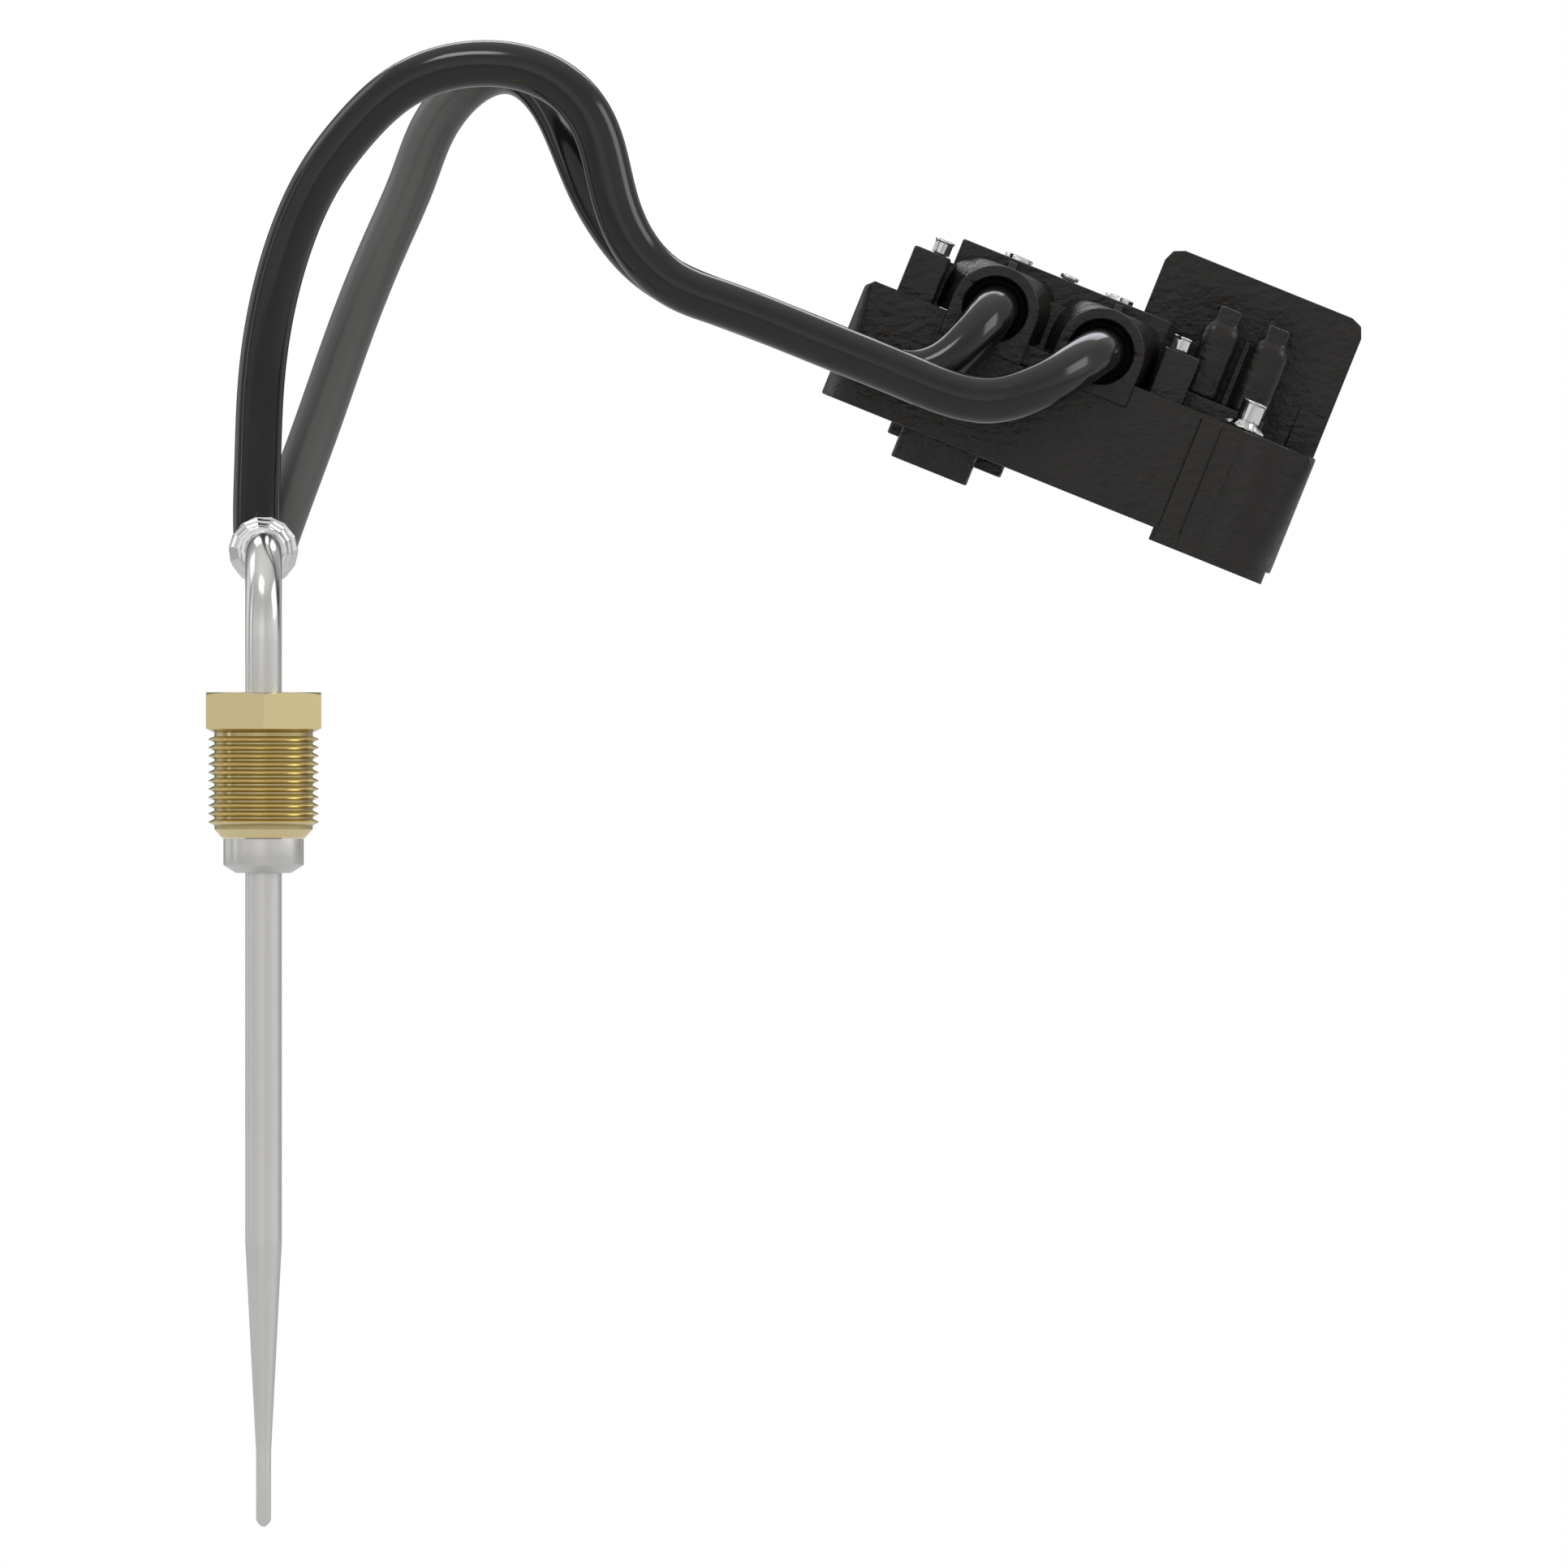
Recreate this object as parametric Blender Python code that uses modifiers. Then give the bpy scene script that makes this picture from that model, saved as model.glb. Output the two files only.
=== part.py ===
"""Flame sensor probe: a sheathed probe with a brass gland nut, two thick leads and a terminal block.

Frame: +Z runs up the probe, and the origin is on the probe's axis where the gland nut meets the
seat collar. The sheath bends back towards +Y at its top. The terminal block has its own frame:
X along its length, Y to its back, Z out of its top, tilted about Y.
Sizes are in millimetres and are scaled to metres by MM.
"""
import math

import bmesh
import bpy
import numpy as np
from mathutils import Matrix, Vector

MM = 0.001
GAP = 0.3

# Probe sheath
SHEATH_R = 3.31
SHEATH_BORE_R = 2.5
TIP_R = 1.36
TIP_BORE_R = 0.95
TAPER_TOP = -73.1
TAPER_END = -111.3
TIP_END = -124.7
BEND_R = 16.0
RUN_Z = 52.13
SHEATH_BACK = 24.5

# Seat collar, slip washer and gland nut
COLLAR_R = 7.28
COLLAR_FOOT_R = 5.0
COLLAR_SHOULDER = -4.85
COLLAR_FOOT = -6.28
BORE_R = SHEATH_R + GAP
NUT_BOTTOM = 0.15
NUT_CHAMFER_R = 7.47
HEX_BOTTOM = 19.85
HEX_TOP = 26.47
HEX_FLATS = 20.9
THREAD_R = 10.0
THREAD_ROOT_R = 8.97
THREAD_PITCH = 1.5
THREAD_CRESTS = 11
FIRST_CREST = 2.94
WASHER_R = 6.1
WASHER_T = 0.9

# Ferrule behind the bend, along Y
FERRULE_FRONT = 18.0
FERRULE_BACK = 34.0
FERRULE_R = 6.3
PLUG_R = 5.0

# Wires inside the sheath
CORE_TOP = 30.0
CORE_BOTTOM = -70.0
CORE_R = 2.15
WIRE_R = 0.22
WIRE_X = 0.9
WIRE_TIP_X = 0.42
WIRE_TIP = -118.6
BEAD_R = 0.6
BEAD_Z = -120.0

# Leads
LEAD_D = 8.5
LEAD_STEP = 7.0
LEAD_CORE_R = 1.35
CORE_STEP = 1.8
PIN_R = 1.2
PIN_Y = (6.3, 23.0)
PIN_HOLE_R = 2.0

# Terminal block frame
BLOCK_AT = (150.03, 52.0, 76.91)
BLOCK_TILT = math.radians(22.0)

# Base housing, in the block's frame
BASE_X = (-46.8, 40.8)
BASE_Y = (0.0, 28.0)
BASE_Z = (-14.84, 7.62)
BASE_CORNER = 3.6
BASE_CHAMFER = 1.4
PILLAR_X = 31.1
PILLAR_Y = 8.5
PILLAR_R = 9.7
WEB_X = (18.7, 23.0)
WEB_Y = (-0.6, 4.0)
FOOT_X = (18.05, 40.0)
FOOT_Y = (1.0, 26.0)
FOOT_Z = -17.18
CAVITY_X = (-43.8, 17.5)
CAVITY_Y = (3.0, 25.8)
CAVITY_TOP = -5.0
SIDE_CAVITY_X = (17.0, 28.5)
SIDE_CAVITY_Y = (15.0, 25.8)
SIDE_CAVITY_Z = (-11.0, -5.1)
WELL_HALF = 4.3
WELL_Y = (15.2, 25.8)
WELL_Z = (-6.0, 9.0)
PLATFORM_X = (14.1, 29.6)
PLATFORM_Y = (13.6, 24.6)
PLATFORM_TOP = 10.2
DIVIDER_X = (20.9, 22.2)
DIVIDER_Y = (18.0, 24.2)
DIVIDER_TOP = 22.8
POST_LEFT_X = (-41.1, -34.0)
POST_RIGHT_X = (7.85, 14.57)
POST_Y = (4.0, 11.0)
POST_TOP = 16.45
POST_CORNER = 0.6
POST_SCREW_X = (-36.25, 10.36)
POST_SCREW_Y = 7.5
SMALL_BORE_R = 1.5
POST_BORE_LOW = 8.5
COVER_BORE_LOW = -1.5

# Bottom cover and its two spigots
FLOOR_X = (-43.5, 17.2)
FLOOR_Y = (3.3, 25.5)
FLOOR_TOP = -12.6
SPIGOT_CORNER = 2.0
BACK_SPIGOT_X = (-33.1, -11.0)
BACK_SPIGOT_Y = (14.5, 24.0)
BACK_SPIGOT_END = -16.98
FRONT_SPIGOT_X = (-30.9, -16.2)
FRONT_SPIGOT_Y = (3.6, 13.8)
FRONT_SPIGOT_END = -20.65

# Lead ports and the saddle round them
PORT_X = (-23.33, -2.67)
PORT_Z = 11.1
PORT_R = 5.92
PORT_DEPTH = 9.0
ARCH_R = 7.95
FLARE_HALF = 10.2
FLARE_POWER = 0.6
SADDLE_FRONT = -1.0
SADDLE_FLANGE = 1.6
SADDLE_BACK = 12.0
SADDLE_BOTTOM = 3.4
SADDLE_X = (-31.4, 5.45)
BRIDGE_HALF = 6.0
BRIDGE_FRONT = 2.2
BRIDGE_TOP = 7.3
COLUMN_HALF = 3.0
COLUMN_TOP = 16.1
NIB_HALF = 0.76
NIB_FRONT = 3.0
NIB_Z = (17.0, 20.2)
BUSH_Y = (2.0, 8.7)

# Terminal cover, clamps and bars
COVER_X = (-33.4, 7.35)
COVER_Y = (12.3, 27.0)
COVER_TOP = 20.8
COVER_WALL = 1.6
COVER_CEILING = 17.8
SCREW_X = (-22.7, -3.1)
SCREW_Y = 19.5
SCREW_HEAD_R = 2.65
SCREW_HEAD_Z = (19.5, 21.6)
SCREW_SHANK_R = 1.75
SCREW_LOW = 14.2
SLOT_HALF = 0.4
SLOT_BOTTOM = 20.7
COVER_SCREW_X = -12.93
CAGE_HALF = (3.6, 3.4)
CAGE_Z = (8.0, 17.4)
CAGE_WINDOW_HALF = 2.5
CAGE_WINDOW_Z = (9.55, 16.2)
BAR_HALF = 2.0
BAR_FRONT = 14.2
BAR_BACK = (24.2, 25.4)
BAR_TOP = (12.65, 13.8)
BAR_LOW = (-7.2, -6.0)
BAR_1_Y = (15.6, 19.5)
BAR_2_Y = 20.9
BAR_2_PAD_Y = (18.8, 22.0)

# Tabs, their caps and the barrier plate behind them
TAB_X = (16.58, 25.95)
TAB_Y = 19.2
TAB_HALF = 2.2
TAB_T_HALF = 0.4
TAB_TOP = 20.4
CAP_SECTIONS = [(10.5, 3.34, 3.9), (22.6, 3.34, 3.9), (24.4, 2.3, 2.7), (24.6, 2.15, 2.3), (27.1, 2.1, 2.2)]
CAP_SLOT_HALF = (2.6, 1.0)
CAP_SLOT_TOP = 21.4
PLATE_X = (1.87, 40.24)
PLATE_Y = (28.3, 31.3)
PLATE_TOP = 33.8
PLATE_CORNER = 2.9
PLATE_SCREW_X = (9.0, 34.0)
PLATE_SCREW_Z = -2.0
PLATE_SCREW_END = 26.3
PLATE_SHANK_R = 1.4
PLATE_HEAD_R = 2.6
PLATE_HEAD_Y = 30.0
PLATE_HEAD_SINK = 0.2

# Earth terminal
EARTH_X = 26.7
EARTH_Y = 8.0
EARTH_BORE_LOW = -3.8
INSERT_R = 3.0
INSERT_Z = (-3.5, 7.4)
INSERT_BORE_R = 2.0
INSERT_BORE_LOW = -2.9
TOOTH_COUNT = 12
RING_R = (2.0, 3.0)
RING_TOP = 9.0
TOOTH_R = 0.75
TOOTH_TIP_R = 0.2
TOOTH_REACH = (2.5, 3.67)
TOOTH_RISE = 0.55

NAME = "flame_sensor_probe"
for old in list(bpy.data.objects):
    bpy.data.objects.remove(old, do_unlink=True)
parts = bpy.data.collections.new(NAME)
cutters = bpy.data.collections.new(NAME + "_cutters")
bpy.context.scene.collection.children.link(parts)
bpy.context.scene.collection.children.link(cutters)


# ---- Materials ----

def make_material(name, colour, roughness, metallic):
    mat = bpy.data.materials.new(name)
    mat.use_nodes = True
    shader = mat.node_tree.nodes["Principled BSDF"]
    shader.inputs["Base Color"].default_value = (*colour, 1.0)
    shader.inputs["Roughness"].default_value = roughness
    shader.inputs["Metallic"].default_value = metallic
    mat.diffuse_color = (*colour, 1.0)
    return mat


STEEL = make_material("satin_steel", (0.55, 0.54, 0.52), 0.32, 1.0)
BRIGHT = make_material("bright_steel", (0.75, 0.75, 0.76), 0.12, 1.0)
BRASS = make_material("brass", (0.72, 0.56, 0.24), 0.3, 1.0)
SLEEVE = make_material("sleeve_black", (0.03, 0.03, 0.03), 0.25, 0.0)
PLASTIC = make_material("moulded_black", (0.032, 0.03, 0.03), 0.5, 0.0)
RUBBER = make_material("bush_rubber", (0.012, 0.012, 0.012), 0.7, 0.0)
CERAMIC = make_material("ceramic", (0.86, 0.84, 0.78), 0.6, 0.0)
RESIN = make_material("potting_resin", (0.06, 0.05, 0.05), 0.4, 0.0)
WIRE = make_material("element_wire", (0.5, 0.45, 0.4), 0.35, 1.0)
TIN = make_material("tinned_copper", (0.7, 0.68, 0.66), 0.3, 1.0)


# ---- Objects and modifiers ----

def place(name, mesh, mat=None, parent=None, at=(0, 0, 0), smooth=False):
    """Links a mesh made in millimetres as a part, or as a cutter when it has no material."""
    mesh.transform(Matrix.Scale(MM, 4))
    if smooth:
        mesh.shade_smooth()
        mesh.set_sharp_from_angle(angle=math.radians(35))
    obj = bpy.data.objects.new(name, mesh)
    obj.location = Vector(at) * MM
    obj.parent = parent
    if mat:
        mesh.materials.append(mat)
        parts.objects.link(obj)
    else:
        cutters.objects.link(obj)
        obj.hide_render = True
        obj.display_type = "WIRE"
    return obj


def combine(obj, operation, mesh, parent=None, at=(0, 0, 0)):
    """Adds a Boolean of this mesh to the object."""
    tool = place(f"{obj.name}_{operation.lower()}_{len(obj.modifiers)}", mesh, None, parent, at)
    mod = obj.modifiers.new(tool.name, "BOOLEAN")
    mod.operation = operation
    mod.solver = "EXACT"
    mod.object = tool


def join(obj, mesh, parent=None, at=(0, 0, 0)):
    combine(obj, "UNION", mesh, parent, at)


def cut(obj, mesh, parent=None, at=(0, 0, 0)):
    combine(obj, "DIFFERENCE", mesh, parent, at)


def finish_mesh(bm):
    mesh = bpy.data.meshes.new("part")
    bm.to_mesh(mesh)
    bm.free()
    return mesh


def box(x, y, z, radius=0.0, segments=4, chamfer=0.0, chamfer_segments=1):
    """A box between the given limits, with rounded upright edges and chamfered top end edges."""
    bm = bmesh.new()
    bmesh.ops.create_cube(bm, size=1.0)
    size = Vector((x[1] - x[0], y[1] - y[0], z[1] - z[0]))
    middle = Vector((x[0] + x[1], y[0] + y[1], z[0] + z[1])) / 2
    bmesh.ops.scale(bm, vec=size, verts=bm.verts)
    bmesh.ops.translate(bm, vec=middle, verts=bm.verts)
    if chamfer:
        ends = [e for e in bm.edges if abs(e.verts[0].co.y - e.verts[1].co.y) > size.y / 2
                and e.verts[0].co.z > middle.z]
        bmesh.ops.bevel(bm, geom=ends, offset=chamfer, segments=chamfer_segments, affect="EDGES",
                        profile=0.5)
    if radius:
        upright = [e for e in bm.edges if abs(e.verts[0].co.z - e.verts[1].co.z) > size.z / 2]
        bmesh.ops.bevel(bm, geom=upright, offset=radius, segments=segments, affect="EDGES", profile=0.5)
    return finish_mesh(bm)


def rod(radius, low, high, axis="Z", centre=(0, 0), segments=24, end_radius=None):
    """A cylinder or cone along an axis, centred at the other two coordinates."""
    bm = bmesh.new()
    bmesh.ops.create_cone(bm, cap_ends=True, segments=segments, radius1=radius,
                          radius2=radius if end_radius is None else end_radius, depth=high - low)
    bmesh.ops.translate(bm, vec=(0, 0, (low + high) / 2), verts=bm.verts)
    if axis == "Y":
        bmesh.ops.rotate(bm, matrix=Matrix.Rotation(math.radians(-90), 3, "X"), verts=bm.verts)
        bmesh.ops.translate(bm, vec=(centre[0], 0, centre[1]), verts=bm.verts)
    else:
        bmesh.ops.translate(bm, vec=(centre[0], centre[1], 0), verts=bm.verts)
    return finish_mesh(bm)


def stack(sections):
    """A closed form through rectangles (height, half width, half depth), bottom to top."""
    bm = bmesh.new()
    height, half_x, half_y = sections[0]
    base = [bm.verts.new((sx * half_x, sy * half_y, height))
            for sx, sy in ((-1, -1), (-1, 1), (1, 1), (1, -1))]
    face = bm.faces.new(base)
    for lower, upper in zip(sections, sections[1:]):
        made = bmesh.ops.extrude_face_region(bm, geom=[face])["geom"]
        verts = [v for v in made if isinstance(v, bmesh.types.BMVert)]
        bmesh.ops.scale(bm, vec=(upper[1] / lower[1], upper[2] / lower[2], 1), verts=verts)
        bmesh.ops.translate(bm, vec=(0, 0, upper[0] - lower[0]), verts=verts)
        if lower is not sections[0]:
            bmesh.ops.delete(bm, geom=[face], context="FACES_ONLY")
        face = next(f for f in made if isinstance(f, bmesh.types.BMFace))
    bmesh.ops.recalc_face_normals(bm, faces=bm.faces)
    return finish_mesh(bm)


def turned(name, profile, mat, steps=32, ring=False, parent=None, at=(0, 0, 0), along_y=False):
    """A turned piece. The profile (radius, height) runs down the outer side, top to bottom."""
    mesh = bpy.data.meshes.new(name)
    count = len(profile)
    edges = [(i, i + 1) for i in range(count - 1)]
    if ring:
        edges.append((count - 1, 0))
    mesh.from_pydata([(r, 0, z) for r, z in profile], edges, [])
    obj = place(name, mesh, mat, parent, at)
    screw = obj.modifiers.new("turn", "SCREW")
    screw.steps = screw.render_steps = steps
    screw.use_merge_vertices = True
    screw.merge_threshold = 0.00001
    screw.use_smooth_shade = True
    if along_y:
        obj.rotation_euler = (math.radians(-90), 0, 0)
    return obj


def ring_profile(inner, outer, low, high):
    return [(outer, high), (outer, low), (inner, low), (inner, high)]


# ---- Curves ----

def smooth_route(route, step):
    """Evenly spaced points along a cubic spline through the route's points."""
    p = np.array(route, float)
    t = np.concatenate([[0], np.cumsum(np.linalg.norm(np.diff(p, axis=0), axis=1))])
    h = np.diff(t)
    n = len(p)
    system = np.eye(n)
    right = np.zeros((n, 3))
    for i in range(1, n - 1):
        system[i, i - 1:i + 2] = (h[i - 1], 2 * (h[i - 1] + h[i]), h[i])
        right[i] = 6 * ((p[i + 1] - p[i]) / h[i] - (p[i] - p[i - 1]) / h[i - 1])
    bend = np.linalg.solve(system, right)
    fine = []
    for s in np.linspace(0, t[-1], 2000):
        i = min(int(np.searchsorted(t, s, side="right")) - 1, n - 2)
        a, b = (t[i + 1] - s), (s - t[i])
        fine.append((bend[i] * a ** 3 + bend[i + 1] * b ** 3) / (6 * h[i])
                    + (p[i] / h[i] - bend[i] * h[i] / 6) * a
                    + (p[i + 1] / h[i] - bend[i + 1] * h[i] / 6) * b)
    fine = np.array(fine)
    run = np.concatenate([[0], np.cumsum(np.linalg.norm(np.diff(fine, axis=0), axis=1))])
    even = np.linspace(0, run[-1], max(2, round(run[-1] / step)) + 1)
    return [Vector([float(np.interp(s, run, fine[:, k])) for k in range(3)]) for s in even]


def bent(name, points, radius, mat, scales=None, resolution=2, parent=None):
    """A round rod that follows points, as a curve with a filled bevel."""
    curve = bpy.data.curves.new(name, "CURVE")
    curve.dimensions = "3D"
    curve.bevel_depth = radius * MM
    curve.bevel_resolution = resolution
    curve.use_fill_caps = True
    spline = curve.splines.new("POLY")
    spline.points.add(len(points) - 1)
    for i, point in enumerate(points):
        spline.points[i].co = (*(Vector(point) * MM), 1.0)
        spline.points[i].radius = scales[i] if scales else 1.0
    obj = bpy.data.objects.new(name, curve)
    obj.parent = parent
    if mat:
        curve.materials.append(mat)
    parts.objects.link(obj)
    return obj


def curve_mesh(obj):
    """The closed mesh of a curve object, in millimetres; the curve object is removed."""
    bpy.context.view_layer.update()
    mesh = bpy.data.meshes.new_from_object(obj.evaluated_get(bpy.context.evaluated_depsgraph_get()))
    bm = bmesh.new()
    bm.from_mesh(mesh)
    bmesh.ops.remove_doubles(bm, verts=bm.verts, dist=0.000001)
    bmesh.ops.transform(bm, matrix=Matrix.Scale(1 / MM, 4) @ obj.matrix_world, verts=bm.verts)
    bmesh.ops.recalc_face_normals(bm, faces=bm.faces)
    bpy.data.objects.remove(obj, do_unlink=True)
    made = finish_mesh(bm)
    made.materials.clear()
    return made


def sheath_line(x_run, x_tip, back, tip):
    """The path from the back end, round the bend and down to the tip."""
    line = [(x_run, back, RUN_Z), (x_run, BEND_R, RUN_Z)]
    for i in range(1, 9):
        angle = math.radians(90 * i / 8)
        line.append((x_run, BEND_R - BEND_R * math.sin(angle), RUN_Z - BEND_R * (1 - math.cos(angle))))
    line.append((x_run, 0, TAPER_TOP))
    line.append((x_tip, 0, TAPER_END))
    line.append((x_tip, 0, tip))
    return line


# ---- Probe ----

def make_sheath():
    outline = sheath_line(0, 0, SHEATH_BACK, TIP_END + 1.5) + [(0, 0, TIP_END)]
    small = TIP_R / SHEATH_R
    scales = [1.0] * (len(outline) - 3) + [small, small, small * 0.45]
    solid = curve_mesh(bent("sheath_outer", outline, SHEATH_R, None, scales, 10))
    bore = sheath_line(0, 0, SHEATH_BACK + 1, TIP_END + 2.2)
    small = TIP_BORE_R / SHEATH_BORE_R
    scales = [1.0] * (len(bore) - 2) + [small, small]
    hollow = curve_mesh(bent("sheath_bore", bore, SHEATH_BORE_R, None, scales, 4))
    cut(place("probe_sheath", solid, STEEL, smooth=True), hollow)


def make_seat_collar():
    turned("seat_collar", [
        (COLLAR_R - 0.2, -0.15), (COLLAR_R, -0.35), (COLLAR_R, COLLAR_SHOULDER),
        (COLLAR_FOOT_R, COLLAR_FOOT), (BORE_R, COLLAR_FOOT), (BORE_R, -0.15),
    ], STEEL, ring=True)


def make_gland_nut():
    profile = [(NUT_CHAMFER_R + 1, HEX_BOTTOM + 3), (THREAD_ROOT_R, HEX_BOTTOM + 0.5)]
    for i in reversed(range(THREAD_CRESTS)):
        crest = FIRST_CREST + i * THREAD_PITCH
        profile += [(THREAD_ROOT_R, crest + THREAD_PITCH / 2), (THREAD_R, crest)]
    profile += [(THREAD_ROOT_R, FIRST_CREST - THREAD_PITCH / 2), (THREAD_ROOT_R, 1.76)]
    profile += [(NUT_CHAMFER_R, NUT_BOTTOM)]
    profile = [(0, HEX_BOTTOM + 3)] + profile + [(0, NUT_BOTTOM)]
    nut = turned("gland_nut", profile, BRASS)
    bm = bmesh.new()
    bmesh.ops.create_cone(bm, cap_ends=True, segments=6, radius1=HEX_FLATS / math.sqrt(3),
                          radius2=HEX_FLATS / math.sqrt(3), depth=HEX_TOP - HEX_BOTTOM)
    bmesh.ops.translate(bm, vec=(0, 0, (HEX_TOP + HEX_BOTTOM) / 2), verts=bm.verts)
    join(nut, finish_mesh(bm))
    cut(nut, rod(BORE_R, NUT_BOTTOM - 2, HEX_TOP + 2, segments=32))
    cut(nut, rod(WASHER_R + GAP, NUT_BOTTOM - 1, NUT_BOTTOM + WASHER_T + 2 * GAP, segments=32))


def make_slip_washer():
    low = NUT_BOTTOM
    turned("slip_washer", ring_profile(BORE_R, WASHER_R, low, low + WASHER_T), STEEL, ring=True)


def make_inner_parts():
    core = place("ceramic_core", rod(CORE_R, CORE_BOTTOM, CORE_TOP, segments=16), CERAMIC, smooth=True)
    for side in (-1, 1):
        cut(core, rod(WIRE_R + GAP, CORE_BOTTOM - 1, CORE_TOP + 1, centre=(side * WIRE_X, 0), segments=8))
    for number, side in ((1, -1), (2, 1)):
        line = sheath_line(side * WIRE_X, side * WIRE_TIP_X, SHEATH_BACK + 1.2, WIRE_TIP)
        bent(f"sensor_wire_{number}", line, WIRE_R, WIRE, resolution=1)
    bm = bmesh.new()
    bmesh.ops.create_uvsphere(bm, u_segments=10, v_segments=8, radius=BEAD_R)
    bmesh.ops.translate(bm, vec=(0, 0, BEAD_Z), verts=bm.verts)
    place("hot_junction", finish_mesh(bm), WIRE, smooth=True)


def make_ferrule():
    front, back, radius = FERRULE_FRONT, FERRULE_BACK, FERRULE_R
    turned("crimp_ferrule", [
        (PLUG_R + 0.3, back), (radius, back), (radius, back - 2.5), (radius - 0.6, back - 3.1),
        (radius - 0.6, front + 6.6), (radius, front + 6.0), (radius, front + 4.4),
        (4.6, front + 1.4), (4.6, front), (BORE_R, front), (BORE_R, SHEATH_BACK + 0.6),
        (PLUG_R + 0.3, SHEATH_BACK + 1.2),
    ], BRIGHT, ring=True, at=(0, 0, RUN_Z), along_y=True)
    plug = place("potting_plug", rod(PLUG_R, SHEATH_BACK + 4.0, back - 0.3, "Y", (0, RUN_Z), 24), RESIN,
                 smooth=True)
    for route in LEAD_CORES:
        centre = (route[0][0], route[0][2])
        cut(plug, rod(LEAD_CORE_R + GAP, SHEATH_BACK + 3, back + 1, "Y", centre, 12))


LEAD_CORES = (
    [(-1.9, 29.0, 49.9), (-1.9, 34.5, 49.9), (-1.8, 37.8, 50.1), (-1.5, 40.3, 51.1), (-1.25, 41.4, 52.4),
     (-1.2, 41.5, 53.1)],
    [(1.9, 29.0, 49.9), (1.9, 36.0, 49.8), (1.9, 43.0, 49.4), (1.8, 47.4, 49.3), (1.7, 49.6, 50.2),
     (1.7, 50.5, 51.4), (1.7, 50.5, 52.0)],
)


# ---- Leads ----

def block_point(x, y, z):
    """A point of the block's frame, in the probe's frame."""
    return tuple(Vector(BLOCK_AT) + Matrix.Rotation(BLOCK_TILT, 3, "Y") @ Vector((x, y, z)))


LEAD_ROUTES = (
    [(-1.2, 41.5, 53.6), (-1.3, 41.4, 58.0), (-1.1, 41.0, 67.0), (-0.4, 40.2, 83.0), (1.9, 39.0, 98.0),
     (5.1, 38.2, 109.0), (10.1, 37.2, 119.8), (16.8, 36.2, 128.8), (25.0, 35.2, 136.2),
     (32.0, 34.4, 139.3), (39.2, 33.7, 140.4), (47.0, 33.0, 139.6), (54.2, 32.3, 136.2),
     (59.4, 31.6, 130.1), (62.0, 31.1, 122.6), (63.8, 30.7, 115.2), (66.9, 30.3, 108.0),
     (71.5, 30.0, 102.5), (77.2, 29.8, 99.0),
     block_point(-71.0, -22.3, -6.6), block_point(-58.0, -22.3, -6.3), block_point(-46.0, -22.3, -6.3),
     block_point(-34.0, -22.3, -6.3), block_point(-25.0, -22.3, -6.2), block_point(-18.0, -22.2, -4.6),
     block_point(-12.2, -21.4, -0.6), block_point(-8.0, -18.6, 4.0), block_point(-5.2, -13.8, 8.0),
     block_point(-3.5, -8.2, 10.3), block_point(-2.8, -3.2, 11.0), block_point(-2.67, 1.5, 11.1),
     block_point(-2.67, 6.0, 11.1)],
    [(1.7, 50.5, 52.9), (3.5, 50.9, 58.0), (9.6, 54.4, 74.6), (15.8, 58.4, 92.2), (22.0, 62.0, 107.6),
     (27.3, 64.8, 120.0), (30.4, 65.7, 128.0), (33.6, 65.6, 133.0), (38.4, 63.8, 137.4),
     (44.2, 60.0, 139.1), (49.2, 55.5, 136.9), (53.2, 51.2, 131.7), (56.0, 47.6, 125.6),
     (60.0, 43.6, 116.3), (63.7, 41.2, 110.2), (68.3, 39.9, 104.8), (74.6, 39.1, 100.4),
     block_point(-71.0, -13.2, -6.6), block_point(-58.0, -13.2, -6.3), block_point(-46.0, -13.2, -6.3),
     block_point(-38.0, -13.3, -6.2), block_point(-32.2, -13.3, -4.9), block_point(-28.2, -13.0, -1.6),
     block_point(-25.9, -11.6, 2.7), block_point(-24.5, -9.0, 6.9), block_point(-23.7, -5.4, 9.8),
     block_point(-23.35, -1.8, 11.0), block_point(-23.33, 2.0, 11.1), block_point(-23.33, 6.0, 11.1)],
)


def make_leads():
    for number, route in enumerate(LEAD_ROUTES, 1):
        bent(f"lead_{number}", smooth_route(route, LEAD_STEP), LEAD_D / 2, SLEEVE, resolution=3)
    for number, route in enumerate(LEAD_CORES, 1):
        bent(f"lead_core_{number}", smooth_route(route, CORE_STEP), LEAD_CORE_R, RUBBER, resolution=2)


# ---- Terminal block ----

block = bpy.data.objects.new("block_frame", None)
block.location = Vector(BLOCK_AT) * MM
block.rotation_euler = (0, BLOCK_TILT, 0)
parts.objects.link(block)


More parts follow.
